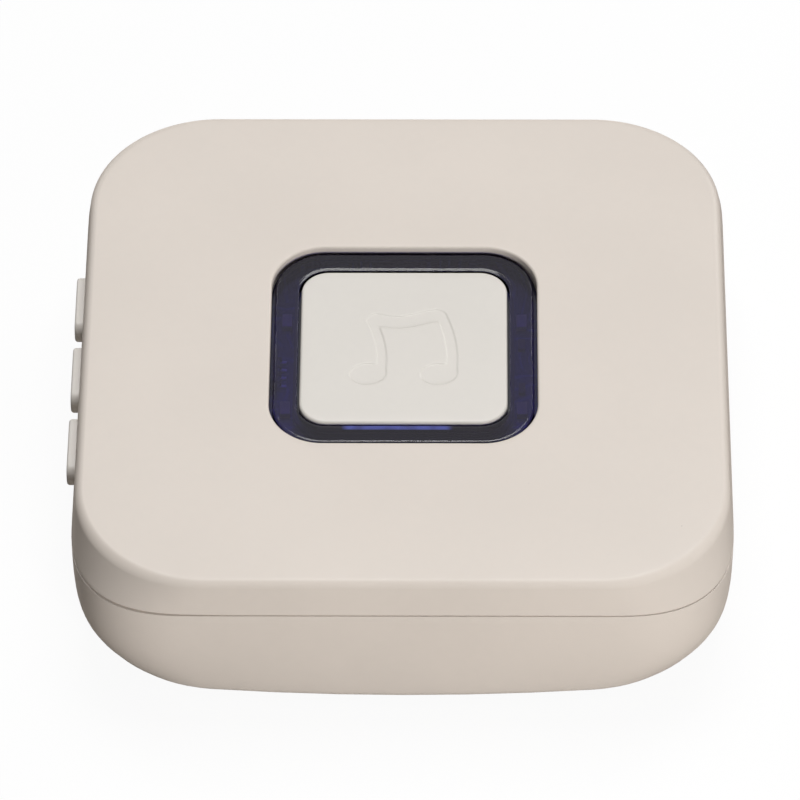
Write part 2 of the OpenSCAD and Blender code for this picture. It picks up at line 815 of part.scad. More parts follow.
module speaker_frame() {
  throat = spk_r - spk_lip;
  draft = 0.65;
  back = spk_z + spk_depth;
  color(steel) {
    translate([spk_x, 0, spk_z]) rotate_extrude() polygon([
      [0, spk_depth - spk_sheet], [spk_plate_r - draft, spk_depth - spk_sheet],
      [throat, spk_sheet * 3 / 4], [throat, 0], [spk_r, 0], [spk_r, spk_sheet],
      [throat + draft, spk_sheet], [spk_plate_r, spk_depth], [0, spk_depth]
    ]);
    box(spk_x, spk_tag_y, 2 * spk_tag, spk_tag, back - spk_sheet / 2, back + spk_sheet);
  }
}

module speaker_magnet() {
  magnet_r = 5.5;
  magnet_h = 2.6;
  color([0.25, 0.25, 0.27]) rod(spk_x, 0, magnet_r, spk_z + spk_depth, spk_z + spk_depth + magnet_h);
}

module speaker_cone() {
  film = 0.25;
  play = 0.05;
  cap_r = 3.6;
  cap_h = 1.2;
  valley = 0.9;
  neck = 0.6;
  neck_h = 1.3;
  rim = 1;
  edge = spk_r - spk_lip - play;
  rise = [[0, cap_h], [cap_r, valley], [cap_r + neck, neck_h], [edge - rim, film], [edge, film]];
  color([0.20, 0.20, 0.20]) translate([spk_x, 0, spk_z]) rotate_extrude()
    polygon(concat(rise, [for (i = [len(rise) - 1:-1:0]) rise[i] + [0, film]]));
}

module speaker_gasket() {
  trim = 0.1;
  color([0.15, 0.15, 0.15]) difference() {
    rod(spk_x, 0, spk_r - trim, floor_z, spk_z);
    rod(spk_x, 0, spk_r - spk_lip + trim, floor_z - past, spk_z + past);
  }
}

module speaker_wires() {
  r = 0.45;
  spread = 1.6;
  color([0.65, 0.12, 0.10]) for (s = [-1, 1])
    rod(spk_x + spread * s, spk_tag_y, r, spk_z + spk_depth + spk_sheet, board_z);
}

module at_cell(i) {
  translate([bay_x + (i - 0.5) * cell_pitch, 0, cell_z]) children();
}

// One cell along Y, its tip towards dir
module cell(dir) {
  body_l = cell_len - cell_tip_l;
  rotate([-90 * dir, 0, 0]) {
    translate([0, 0, -cell_len / 2]) cylinder(r = cell_d / 2, h = body_l);
    translate([0, 0, cell_len / 2 - cell_tip_l - bite]) cylinder(r = cell_tip_d / 2, h = cell_tip_l + bite);
  }
}

module battery_cells() {
  color([0.20, 0.22, 0.25]) for (i = [0, 1]) at_cell(i) cell(2 * i - 1);
}

// Strip standing against the end wall of the bay, dir is the end it stands at
module strip(i, dir) {
  y = dir * (bay_l - strip_t) / 2;
  at_cell(i) box(0, y, strip_w, strip_t, door_top + strip_foot - cell_z, bay_z - strip_head - cell_z);
}

// Sprung fold that presses on the flat end of a cell
module spring_fold(i, dir) {
  reach = contact_room - strip_t - contact_play;
  foot = 3.4;
  nose = 0.5;
  leaf_w = 5;
  hollow = reach - strip_t;
  root = foot - 2 * strip_t;
  fold = [
    [0, -foot], [reach, -nose], [reach, nose], [0, foot],
    [0, root], [hollow, nose / 2], [hollow, -nose / 2], [0, -root]
  ];
  at_cell(i) translate([-leaf_w / 2, dir * (bay_l / 2 - strip_t), 0]) rotate([90, 0, 90])
    linear_extrude(leaf_w) polygon([for (p = fold) [-dir * p.x, p.y]]);
}

// Pressed cup that meets the tip of a cell
module tip_cup(i, dir) {
  at_cell(i) translate([0, dir * (bay_l / 2 - strip_t), 0]) rotate([90 * dir, 0, 0])
    cylinder(r = cell_tip_d / 2 + cup_wall, h = contact_room - strip_t - contact_play);
}

// Tongue from the strip up to the board
module board_tie(i) {
  low = bay_z - strip_head - bite;
  at_cell(i) box(0, (strip_t - bay_l) / 2, tie_w, strip_t, low - cell_z, board_z - cell_z);
}

module positive_contact() {
  color(tin) {
    strip(0, -1);
    tip_cup(0, -1);
    board_tie(0);
  }
}

module negative_contact() {
  color(tin) {
    strip(1, -1);
    spring_fold(1, -1);
    board_tie(1);
  }
}

module bridge_contact() {
  link_h = 3;
  color(tin) {
    strip(0, 1);
    spring_fold(0, 1);
    strip(1, 1);
    tip_cup(1, 1);
    box(bay_x, bay_l / 2 - strip_t / 2, cell_pitch, strip_t, cell_z - link_h / 2, cell_z + link_h / 2);
  }
}

module battery_door() {
  grip_w = 8;
  grip_t = 0.7;
  grip_depth = 0.3;
  grip_pitch = 1.5;
  color(ivory) difference() {
    union() {
      translate([bay_x, 0, 0]) slab(door_w, door_l, door_corner_r, base_z, door_top);
      for (s = [-1, 1])
        box(bay_x + s * tab_span / 2, (door_l + tab_len - past) / 2, tab_w, tab_len + past, tab_z, door_top);
    }
    for (i = [1:3])
      box(bay_x, grip_pitch * (i + 1) - door_l / 2, grip_w, grip_t, base_z - past, base_z + grip_depth);
  }
}

// Screw pointing up, its head seated in the case
module case_screw() {
  cross_w = 0.6;
  cross_depth = 0.7;
  head_z = seat_z - screw_head_h;
  difference() {
    union() {
      rod(0, 0, screw_head_d / 2, head_z, seat_z);
      rod(0, 0, screw_d / 2, seat_z - bite, screw_tip_z);
    }
    for (a = [0, 90]) rotate([0, 0, a])
      box(0, 0, screw_head_d * cross_share, cross_w, head_z - past, head_z + cross_depth);
  }
}

module case_screws() {
  color(steel) at_screws() case_screw();
}

module board_screws() {
  cross_w = 0.5;
  cross_depth = 0.6;
  head_z = board_top + board_screw_head_h;
  color(steel) at_posts() difference() {
    union() {
      rod(0, 0, board_screw_head_d / 2, board_top, head_z);
      rod(0, 0, board_screw_d / 2, board_z - board_screw_l + tip_room, board_top + bite);
    }
    for (a = [0, 90]) rotate([0, 0, a])
      box(0, 0, board_screw_head_d * cross_share, cross_w, head_z - cross_depth, head_z + past);
  }
}

module rubber_feet() {
  color(rubber) at_feet() rod(0, 0, foot_d / 2, 0, foot_t);
}

top_cover();
bottom_case();
light_ring();
call_button();
call_switch();
call_switch_stem();
volume_up_button();
melody_button();
volume_down_button();
side_switches();
volume_up_stem();
melody_stem();
volume_down_stem();
circuit_board();
ring_leds();
board_passives();
memory_chip();
controller_chip();
radio_module();
radio_crystal();
antenna_wire();
capacitor();
speaker_frame();
speaker_magnet();
speaker_cone();
speaker_gasket();
speaker_wires();
battery_cells();
positive_contact();
negative_contact();
bridge_contact();
battery_door();
case_screws();
board_screws();
rubber_feet();
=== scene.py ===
import math

import bmesh
import bpy
import numpy as np
from bpy.props import FloatProperty, FloatVectorProperty, IntProperty, PointerProperty
from mathutils import Matrix, Vector


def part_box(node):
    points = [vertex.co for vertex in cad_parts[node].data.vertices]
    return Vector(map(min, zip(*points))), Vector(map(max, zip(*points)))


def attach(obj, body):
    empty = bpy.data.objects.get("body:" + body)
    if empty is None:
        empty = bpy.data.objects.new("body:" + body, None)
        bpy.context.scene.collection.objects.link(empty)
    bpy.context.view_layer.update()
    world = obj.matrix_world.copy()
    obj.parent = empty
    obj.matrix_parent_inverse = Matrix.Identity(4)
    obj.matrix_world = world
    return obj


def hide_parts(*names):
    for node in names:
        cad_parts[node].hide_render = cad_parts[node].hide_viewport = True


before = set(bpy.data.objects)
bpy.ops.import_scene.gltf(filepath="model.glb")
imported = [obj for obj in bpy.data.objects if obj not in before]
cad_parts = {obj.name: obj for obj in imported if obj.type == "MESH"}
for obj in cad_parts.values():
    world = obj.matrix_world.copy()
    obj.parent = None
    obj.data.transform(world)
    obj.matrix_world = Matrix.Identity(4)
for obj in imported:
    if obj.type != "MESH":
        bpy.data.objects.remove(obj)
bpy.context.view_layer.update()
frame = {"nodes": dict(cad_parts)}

bl_info = {
    "name": "Call Unit",
    "version": (1, 0, 0),
    "blender": (4, 5, 0),
    "location": "View3D > Sidebar > Call Unit",
    "description": "Builds the looks of a table call unit with a square key in a light ring",
    "category": "Object",
}

MM = 0.001
WHITE = (1.0, 1.0, 1.0, 1.0)
SHARP = math.radians(32)
EASED = math.radians(40)
WELDED = 0.001 * MM
SENSOR = 36.0
FAR = 1e9

# Steps round the rounded edges of the seam, the rim, the opening, the ring, the square key and the side keys
SEAM_STEPS, RIM_STEPS, MOUTH_STEPS, RING_STEPS, KEY_STEPS, SIDE_STEPS = 4, 18, 10, 6, 10, 7


def size(name, description, millimetres):
    """A length property, written in millimetres."""
    return FloatProperty(
        name=name, description=description, default=millimetres * MM, unit="LENGTH", precision=5
    )


def tone(name, description, rgb):
    """A colour property, in linear values."""
    return FloatVectorProperty(
        name=name, description=description, default=rgb, subtype="COLOR", min=0.0, max=1.0
    )


def angle(name, description, degrees):
    """An angle property, written in degrees."""
    return FloatProperty(name=name, description=description, default=math.radians(degrees), subtype="ANGLE")


def share(name, description, default):
    """A property from 0 to 1."""
    return FloatProperty(name=name, description=description, default=default, subtype="FACTOR", min=0.0, max=1.0)


def watts(name, description, power):
    """A lamp's power property."""
    return FloatProperty(name=name, description=description, default=power, unit="POWER", min=0.0)


class ShellSizes(bpy.types.PropertyGroup):
    """Sizes of the upper shell."""

    half: size("Half width", "From the middle to the wall at the seam", 38.0)
    seam_drop: size("Seam drop", "From the top face down to the seam", 4.95)
    seam_gap: size("Seam gap", "Open gap between the shells", 0.12)
    seam_ease: size("Seam edge", "Rounding of the upper shell's edge at the seam", 0.1)
    seam_gape: size("Seam gape", "How much further the seam opens in the left front corner", 0.2)
    top_corner: size("Top corner", "Corner radius at the top face", 15.2)
    seam_corner: size("Seam corner", "Reach of the corners at the seam", 14.4)
    seam_full: share("Seam fullness", "Power of the corners at the seam, 1 for plain arcs", 0.74)
    lean: size("Lean", "How far the upper wall leans in at the top face", 0.54)
    rim: size("Rim", "Rounding of the top edge", 0.9)
    wall: size("Wall", "Thickness of the walls", 1.8)
    roof: size("Roof", "Thickness of the top panel", 1.95)
    lip_room: size("Lip room", "Depth of the groove that takes the lower shell's lip", 0.9)
    lip_height: size("Lip height", "Height of that groove above the seam", 1.35)
    mouth: size("Opening", "Half the side of the square opening", 15.6)
    mouth_corner: size("Opening corner", "Corner radius of the opening", 6.3)
    mouth_edge: size("Opening edge", "Rounding of the opening's edge", 0.3)
    dish: size("Dish", "How far the top face dips towards the opening", 0.15)


class KeySizes(bpy.types.PropertyGroup):
    """Sizes of the square key, the light ring and the side keys."""

    half: size("Half width", "From the key's middle to its side", 12.1)
    corner: size("Corner", "Corner radius of the key", 3.25)
    edge: size("Edge", "Rounding of the key's top edge", 0.35)
    wall: size("Wall", "Thickness of the key's walls", 1.3)
    flange: size("Flange", "Reach of the key's flange", 0.8)
    flange_height: size("Flange height", "Thickness of the key's flange", 0.55)
    skin: size("Skin", "Thickness of the key's top", 1.3)
    # Painted shade: the key's skirt is near black from this far below its top
    skirt_shade_drop: size("Paint drop", "From the key's top down to the black paint on its skirt", 1.2)
    post: size("Post", "Radius of the key's post over the switch", 2.5)
    note_field: size("Note field", "Half the side of the fine mesh that holds the note symbol", 8.2)
    note_depth: size("Note depth", "How deep the note symbol is pressed in", 0.095)
    note_edge: size("Note edge", "Softness of the symbol's edge", 0.11)
    ring_gap: size("Ring gap", "Gap between the opening and the light ring", 0.4)
    key_gap: size("Key gap", "Gap between the light ring and the key", 0.3)
    ring_edge: size("Ring edge", "Rounding of the light ring's inner edge", 0.1)
    ring_slope: size("Ring slope", "Width of the steep bevel along the ring's outer edge", 0.24)
    ring_slope_drop: size("Ring slope drop", "How far the steep bevel falls", 0.18)
    ring_strip: size("Ring strip", "Width of the shallow bevel between the steep one and the face", 0.15)
    ring_strip_drop: size("Ring strip drop", "How far the shallow bevel falls", 0.036)
    ring_bevel: size("Ring bevel", "Width of the bevel along the ring's inner edge", 0.36)
    ring_bevel_drop: size("Ring bevel drop", "How far that bevel falls", 0.09)
    ring_flange: size("Ring flange", "Reach of the ring's flange", 1.0)
    ring_flange_height: size("Ring flange height", "Thickness of the ring's flange", 0.5)
    side_length: size("Side key length", "Length of a side key", 9.2)
    side_height: size("Side key height", "Height of a side key", 3.0)
    side_corner: size("Side key corner", "Corner radius of a side key", 1.4)
    side_edge: size("Side key edge", "Rounding of a side key's outer edge", 0.35)
    side_flange: size("Side key flange", "Thickness of a side key's flange", 0.8)


class Colours(bpy.types.PropertyGroup):
    """Colours of the finishes."""

    ivory: tone("Ivory", "Both shells and the battery door", (0.70, 0.63, 0.565))
    key_white: tone("Key white", "The square key", (0.69, 0.655, 0.605))
    # Painted light: the key white made lighter, for the side keys where little lamp light reaches the left side
    side_white_painted_light: tone("Side key white", "The three side keys", (0.86, 0.815, 0.76))
    # Painted shade: near black on the square key's skirt, which darkens the gap round the key
    paint: tone("Paint", "Black paint on the square key's skirt", (0.003, 0.003, 0.003))
    lens: tone("Lens", "The smoked light ring", (0.012, 0.008, 0.026))
    lens_clear: tone("Lens tint", "Light that passes the light ring", (0.58, 0.54, 1.0))
    lens_dust: tone("Lens dust", "Dust on the light ring", (0.10, 0.10, 0.13))
    # Painted glow: blue on the ring's face along its inner front edge, glowing though it is no lamp
    lens_painted_glow: tone("Lens strip", "Light caught in the ring's front bevel", (0.12, 0.15, 0.62))
    # Painted shade: near black on the light ring's upright walls, which darkens the gaps beside the ring
    painted_gap_shade: tone("Soot", "Black on the light ring's upright walls", (0.002, 0.002, 0.002))
    board: tone("Board", "The blue circuit board", (0.016, 0.022, 0.145))
    radio: tone("Radio board", "The green receiver board", (0.01, 0.09, 0.035))
    resin: tone("Resin", "Chips and switches", (0.012, 0.012, 0.013))
    tin: tone("Tin", "Pins and cans", (0.68, 0.68, 0.70))
    stem: tone("Stem", "Stems of the side switches", (0.7, 0.69, 0.66))
    phosphor: tone("Phosphor", "The small lamps on the board", (0.78, 0.66, 0.22))
    phosphor_pale: tone("Pale phosphor", "Paler grains in the small lamps", (0.92, 0.86, 0.55))
    ceramic: tone("Ceramic", "Small parts on the board", (0.16, 0.10, 0.06))
    brass: tone("Brass", "The antenna wire", (0.70, 0.48, 0.20))
    sleeve: tone("Capacitor sleeve", "The capacitor", (0.012, 0.015, 0.05))
    frame: tone("Frame steel", "The speaker's frame", (0.50, 0.51, 0.53))
    magnet: tone("Magnet", "The speaker's magnet", (0.03, 0.03, 0.033))
    cone: tone("Cone", "The speaker's cone", (0.025, 0.024, 0.023))
    foam: tone("Foam", "The speaker's gasket", (0.018, 0.018, 0.018))
    wire: tone("Wire", "The speaker's wires", (0.35, 0.02, 0.015))
    cell: tone("Cell", "The cells' sleeves", (0.018, 0.019, 0.022))
    cell_band: tone("Cell band", "Copper band on a cell", (0.42, 0.17, 0.06))
    cell_scuff: tone("Cell scuff", "Worn places on a cell", (0.16, 0.15, 0.14))
    cell_end: tone("Cell end", "Bare steel ends of a cell", (0.62, 0.62, 0.63))
    contact: tone("Contact", "The battery contacts", (0.66, 0.66, 0.67))
    screw: tone("Screw steel", "The screws", (0.45, 0.45, 0.47))
    rubber: tone("Rubber", "The feet", (0.02, 0.02, 0.021))
    floor: tone("Floor", "What the floor throws back on the unit", (0.41, 0.38, 0.35))
    floor_left: tone("Floor on the left", "What it throws back left of the unit", (0.145, 0.125, 0.105))
    ambient: tone("Ambient", "Dim light from all round", (1.0, 0.99, 0.98))


class StageSettings(bpy.types.PropertyGroup):
    """Camera, lamps and background."""

    azimuth: angle("Azimuth", "Camera angle round the unit", 0.7424)
    elevation: angle("Elevation", "Camera angle above the table", 47.272)
    roll: angle("Roll", "Camera roll", -0.4588)
    distance: size("Distance", "From the camera to the unit", 772.03)
    aim: size("Aim", "Height the camera aims at", 9.72)
    lens: FloatProperty(name="Lens", description="Focal length in millimetres", default=294.63)
    shift: FloatVectorProperty(name="Shift", description="Lens shift", size=2, default=(-0.00534, 0.00481))
    overhead_box: watts("Overhead box", "Soft box above and behind the unit", 5.7)
    right_back_box: watts("Right back box", "Soft box behind, on the right", 1.8)
    left_back_box: watts("Left back box", "Soft box behind, on the left", 1.2)
    front_right_box: watts("Front right box", "Low soft box in front, on the right", 2.3)
    front_box: watts("Front box", "Small low soft box close in front", 0.26)
    ambient: FloatProperty(name="Ambient", description="Strength of the dim light from all round", default=0.02)
    glow: share("Glow", "Share of plain white where the camera sees the floor", 0.93)


class CallUnit(bpy.types.PropertyGroup):
    """All settings of the call unit."""

    shell: PointerProperty(type=ShellSizes)
    key: PointerProperty(type=KeySizes)
    colour: PointerProperty(type=Colours)
    stage: PointerProperty(type=StageSettings)
    corner_steps: IntProperty(name="Corner steps", description="Steps round a corner", default=28, min=4)


def settings():
    """The call unit's settings in the open scene."""
    return bpy.context.scene.call_unit


class Value:
    """A node's output. Operators on it add Math nodes."""

    def __init__(self, nodes, socket):
        self.nodes = nodes
        self.socket = socket

    def other(self, output):
        """Another output of the same node."""
        return Value(self.nodes, self.socket.node.outputs[output])

    def math(self, operation, first, second):
        return self.nodes.node("ShaderNodeMath", {"operation": operation}, {0: first, 1: second})

    def __add__(self, other):
        return self.math("ADD", self, other)

    def __radd__(self, other):
        return self.math("ADD", other, self)

    def __sub__(self, other):
        return self.math("SUBTRACT", self, other)

    def __rsub__(self, other):
        return self.math("SUBTRACT", other, self)

    def __mul__(self, other):
        return self.math("MULTIPLY", self, other)

    def __rmul__(self, other):
        return self.math("MULTIPLY", other, self)

    def __truediv__(self, other):
        return self.math("DIVIDE", self, other)

    def __rtruediv__(self, other):
        return self.math("DIVIDE", other, self)

    def __gt__(self, other):
        return self.math("GREATER_THAN", self, other)

    def __lt__(self, other):
        return self.math("LESS_THAN", self, other)

    def __abs__(self):
        return self.math("ABSOLUTE", self, 0.0)

    def or_more(self, other):
        """The larger of two values."""
        return self.math("MAXIMUM", self, other)

    def folded(self, length):
        """The value folded to and fro between 0 and a length."""
        return self.math("PINGPONG", self, length)


class Nodes:
    """A node tree whose nodes all come from one method."""

    def __init__(self, tree):
        self.tree = tree
        self.tree.nodes.clear()

    def node(self, kind, settings=None, inputs=None, output=0):
        """Adds a node, sets it up, fills its sockets and returns one of its outputs, if it has any."""
        made = self.tree.nodes.new(kind)
        for name, setting in (settings or {}).items():
            setattr(made, name, setting)
        for name, value in (inputs or {}).items():
            if isinstance(value, Value):
                self.tree.links.new(value.socket, made.inputs[name])
            else:
                made.inputs[name].default_value = value
        return Value(self, made.outputs[output]) if made.outputs else None

    def seen(self, *kinds):
        """1 for camera rays and for the other kinds of ray that are named."""
        found = straight = self.node("ShaderNodeLightPath", output="Is Camera Ray")
        for kind in kinds:
            found = found.or_more(straight.other(kind))
        return found


class Finish(Nodes):
    """One procedural material."""

    def __init__(self, name):
        self.material = bpy.data.materials.new(name)
        self.material.use_nodes = True
        super().__init__(self.material.node_tree)

    def place(self):
        """Position in the unit's frame, in metres."""
        return self.node("ShaderNodeTexCoord", output="Object")

    def axes(self):
        """The three parts of that position."""
        parts = self.node("ShaderNodeSeparateXYZ", None, {0: self.place()})
        return [parts.other(i) for i in range(3)]

    def noise(self, grain, detail=2.0, roughness=0.5, seed=0.0):
        """Cloudy values from 0 to 1 whose grain is that many millimetres across."""
        inputs = {"Vector": self.place(), "W": seed, "Scale": 1.0 / (grain * MM)}
        inputs.update(Detail=detail, Roughness=roughness)
        return self.node("ShaderNodeTexNoise", {"noise_dimensions": "4D"}, inputs)

    def streaks(self, turn, stretch, scale, detail):
        """Cloudy values drawn out into lines by a turn and a stretch of the position."""
        drawn = self.node(
            "ShaderNodeMapping", None, {"Vector": self.place(), "Rotation": (0, 0, turn), "Scale": stretch}
        )
        return self.node("ShaderNodeTexNoise", None, {"Vector": drawn, "Scale": scale, "Detail": detail})

    def cells(self, grain, output="Distance"):
        """Cell pattern of that many millimetres."""
        return self.node(
            "ShaderNodeTexVoronoi", None, {"Vector": self.place(), "Scale": 1.0 / (grain * MM)}, output
        )

    def span(self, value, low, high, to_low=0.0, to_high=1.0):
        """The value smoothly mapped from one range to another, held at its ends."""
        return self.node(
            "ShaderNodeMapRange",
            {"interpolation_type": "SMOOTHSTEP", "clamp": True},
            {0: value, 1: low, 2: high, 3: to_low, 4: to_high},
        )

    def below(self, value, low, high):
        """1 up to the low end, 0 from the high end and smooth between them."""
        return self.span(value, low, high, 1.0, 0.0)

    def blend(self, share, first, second):
        """Colour between two colours."""
        def colour(c):
            return c if isinstance(c, Value) else (*c, 1.0)
        return self.node(
            "ShaderNodeMix", {"data_type": "RGBA"}, {0: share, 6: colour(first), 7: colour(second)}, 2
        )

    def shaded(self, share, colour, dark, light):
        """Colour between a darker and a lighter tone of one colour."""
        return self.blend(share, scaled(colour, dark), scaled(colour, light))

    def bump(self, height, depth):
        """Normal from a height of 0 to 1 that stands for that many millimetres."""
        return self.node("ShaderNodeBump", None, {"Distance": depth * MM, "Height": height})

    def shader(self, **inputs):
        """A Principled shader whose sockets are named with underscores for spaces."""
        return self.node("ShaderNodeBsdfPrincipled", None, {k.replace("_", " "): v for k, v in inputs.items()})

    def mixed(self, share, first, second):
        """Shader between two shaders."""
        return self.node("ShaderNodeMixShader", None, {0: share, 1: first, 2: second})

    def finish(self, shader):
        self.node("ShaderNodeOutputMaterial", None, {"Surface": shader})
        return self.material

    def principled(self, **inputs):
        return self.finish(self.shader(**inputs))


def scaled(colour, share):
    """A colour made lighter or darker."""
    return tuple(min(1.0, c * share) for c in colour)


def shifted(colour, by):
    """A colour with the same amount added to each part."""
    return tuple(c + by for c in colour)


def moulded_plastic(name, colour, rough, grain=0.22, depth=0.0022, specks=0.0, painted=None):
    """Satin moulded plastic with a spark-eroded grain, faint clouding and a few specks of dust.

    painted gives the height below which it is painted black, as painted shade in the gap round a key."""
    f = Finish(name)
    cloud = f.noise(16.0, 3.0)
    mottle = f.noise(1.4, 4.0, 0.6, 3.0)
    pores = f.noise(grain, 2.0, 0.55, 7.0)
    ripple = f.noise(9.0, 1.0, 0.5, 11.0)
    base = f.shaded(f.span(cloud * 0.7 + mottle * 0.3, 0.34, 0.66), colour, 0.982, 1.014)
    if specks:
        spacing = 2.9
        picked = f.node("ShaderNodeSeparateColor", None, {0: f.cells(spacing, "Color")}) > (1.0 - specks)
        dot = f.below(f.cells(spacing), 0.016, 0.034) * picked
        base = f.blend(dot * 0.45, base, scaled(colour, 0.35))
    # Painted shade: black below the given height
    if painted is not None:
        fade = 0.3 * MM
        base = f.blend(f.below(f.axes()[2], painted, painted + fade), base, settings().colour.paint)
    return f.principled(
        Base_Color=base,
        Roughness=f.span(mottle * 0.5 + pores * 0.5, 0.3, 0.7, rough - 0.05, rough + 0.06),
        Normal=f.bump(pores + ripple * 1.5, depth),
        IOR=1.5,
    )


def ivory_finish():
    """Ivory plastic, made once for both shells and the battery door."""
    name = "ivory_plastic"
    return bpy.data.materials.get(name) or moulded_plastic(name, settings().colour.ivory, 0.46, specks=0.05)


def key_finish():
    """The square key, painted black on its skirt as painted shade that darkens the gap round the key."""
    colour = settings().colour.key_white
    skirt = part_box("call_button")[1].z - settings().key.skirt_shade_drop
    return moulded_plastic("key_plastic", colour, 0.40, grain=0.3, depth=0.0012, specks=0.03, painted=skirt)


def side_key_finish():
    """The side keys, of the same plastic made lighter as painted light on the unit's shaded left side, with no
    black skirt.
    """
    colour = settings().colour.side_white_painted_light
    return moulded_plastic("side_key_plastic", colour, 0.40, grain=0.3, depth=0.0012, specks=0.03)


def smoked_lens(name):
    """Dark blue acrylic with dust, haze and hair scratches, black painted shade on its upright walls and a
    painted blue glow along its inner front edge.
    """
    f = Finish(name)
    x, y, z = f.axes()
    colour, key = settings().colour, settings().key
    low, high = (corner.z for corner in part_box("light_ring"))
    shelf = low + key.ring_flange_height
    # The upright walls get near-black painted shade, for the dark gaps beside the ring
    wall = f.span(z, shelf + 0.02 * MM, shelf + 0.1 * MM) * f.below(z, high - 0.26 * MM, high - 0.16 * MM)

    # Painted glow: a blue band on the ring's face along its inner front edge, glowing though it is no lamp, in
    # place of light seen through the ring
    strip_middle, strip_half, strip_fade = -0.7 * MM, 5.6 * MM, 1.0 * MM
    strip_front, strip_soft, strip_back, strip_deep = -13.12 * MM, 0.1 * MM, -12.3 * MM, 0.3 * MM
    along = f.below(abs(x - strip_middle), strip_half, strip_half + strip_fade)
    across = f.span(y, strip_front, strip_front + strip_soft) * (y < strip_back) * (z > high - strip_deep)
    glow_grain = f.span(f.noise(1.6, 1.0, 0.5, 8.0), 0.3, 0.62, 0.55, 1.0)
    glow_painted = along * across * glow_grain

    dust = f.below(f.cells(1.9), 0.02, 0.045)
    haze = f.span(f.noise(3.0, 3.0), 0.35, 0.7)
    hair = f.streaks(turn=0.6, stretch=(1, 14, 1), scale=900.0, detail=1.0)
    gloss = f.shader(
        Base_Color=f.blend(dust * 0.25, colour.lens, colour.lens_dust),
        Roughness=f.span(hair * 0.1 + haze * 0.9, 0.2, 0.9, 0.04, 0.055),
        Emission_Color=f.blend(glow_painted, (0.0, 0.0, 0.0), colour.lens_painted_glow),
        Emission_Strength=1.0,
        IOR=1.68,
    )
    through = f.node("ShaderNodeBsdfTransparent", None, {"Color": (*colour.lens_clear, 1.0)})
    smoke = 0.44
    painted_gap_shade = f.shader(Base_Color=f.shaded(haze, colour.painted_gap_shade, 0.5, 1.5), Roughness=0.9, IOR=1.1)
    return f.finish(f.mixed(wall, f.mixed(smoke, through, gloss), painted_gap_shade))


def metal(name, colour, rough, along=(1, 30, 1)):
    """Drawn or tinned metal with fine brushing and dull patches."""
    f = Finish(name)
    lines = f.streaks(turn=0.0, stretch=along, scale=700.0, detail=3.0)
    dull = f.span(f.noise(2.2, 3.0), 0.35, 0.7)
    return f.principled(
        Base_Color=f.shaded(dull * 0.5, colour, 1.0, 0.72),
        Metallic=1.0,
        Roughness=f.span(lines * 0.6 + dull * 0.4, 0.25, 0.75, rough - 0.08, rough + 0.14),
        Normal=f.bump(lines, 0.0012),
    )


def chip_resin(name, middle, half, foot):
    """Black chip resin, with the pins beyond the body's sides tinned up to the height of their feet in a lighter
    tin that is painted light.
    """
    f = Finish(name)
    colour = settings().colour
    x, _, z = f.axes()
    pin = (abs(x - middle) > half) * (z < foot)
    pits = f.noise(0.12, 3.0, 0.6)
    return f.principled(
        # The pins' tin is made lighter than the tin elsewhere, painted light so that they show under the dark
        # ring
        Base_Color=f.blend(pin, f.shaded(pits, colour.resin, 0.8, 1.6), scaled(colour.tin, 1.35)),
        Roughness=f.span(pits, 0.3, 0.7, 0.42, 0.62) - pin * 0.1,
        Normal=f.bump(pits, 0.003),
    )


def board_lacquer(name, colour, pitch):
    """Lacquered circuit board with copper tracks showing through as lighter lines."""
    f = Finish(name)
    x, y, _ = f.axes()
    warp = f.noise(5.0, 1.0)
    rows = (y / (pitch * MM) + warp * 2.0).folded(0.5)
    columns = (x / (pitch * MM) + warp * 3.0).folded(0.5)
    zone = f.noise(7.0, 0.0, 0.5, 5.0) > 0.5
    track = f.below(rows, 0.10, 0.15) * zone + f.below(columns, 0.10, 0.15) * (1.0 - zone)
    weave = f.noise(0.3, 2.0)
    return f.principled(
        Base_Color=f.blend(track, f.shaded(weave, colour, 0.85, 1.1), scaled(colour, 1.9)),
        Roughness=f.span(weave, 0.3, 0.7, 0.22, 0.34),
        Normal=f.bump(track + weave * 0.2, 0.02),
    )


def cell_sleeve(name):
    """Battery cell: dark sleeve with a copper band at the tip end and bare steel ends."""
    f = Finish(name)
    colour = settings().colour
    x, y, _ = f.axes()
    low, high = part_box("battery_cells")
    end_length, band_length = 1.15 * MM, 13.0 * MM
    turn = 2.0 * (x > (low.x + high.x) / 2) - 1.0
    end = abs(y) > high.y - end_length
    band = y * turn > high.y - band_length
    scuff = f.span(f.noise(1.1, 4.0, 0.6), 0.5, 0.75)
    worn = f.blend(scuff * 0.4, f.blend(band, colour.cell, colour.cell_band), colour.cell_scuff)
    return f.principled(
        Base_Color=f.blend(end, worn, colour.cell_end),
        Metallic=f.span(end + band * 0.6, 0.0, 1.0),
        Roughness=f.span(scuff, 0.0, 1.0, 0.24, 0.40),
        Normal=f.bump(scuff, 0.004),
    )


def soft_matte(name, colour, grain, rough, depth):
    """Rubber, foam, film, resin or wire cover with a fine grain."""
    f = Finish(name)
    pores = f.noise(grain, 3.0, 0.6)
    wipe = f.noise(4.0, 2.0, 0.5, 4.0)
    return f.principled(
        Base_Color=f.shaded(f.span(pores * 0.6 + wipe * 0.4, 0.3, 0.7), colour, 0.75, 1.3),
        Roughness=f.span(wipe, 0.3, 0.7, rough - 0.06, rough + 0.06),
        Normal=f.bump(pores, depth),
    )


def lamp_resin(name):
    """Small lamp on the board: grains of yellow phosphor in clear resin."""
    f = Finish(name)
    colour = settings().colour
    grains = f.noise(0.09, 2.0)
    return f.principled(
        Base_Color=f.blend(grains, colour.phosphor, colour.phosphor_pale),
        Roughness=f.span(grains, 0.3, 0.7, 0.28, 0.45),
        Normal=f.bump(grains, 0.003),
    )


def mix(a, b, t):
    """The value at a share t of the way from a to b."""
    return a + (b - a) * t


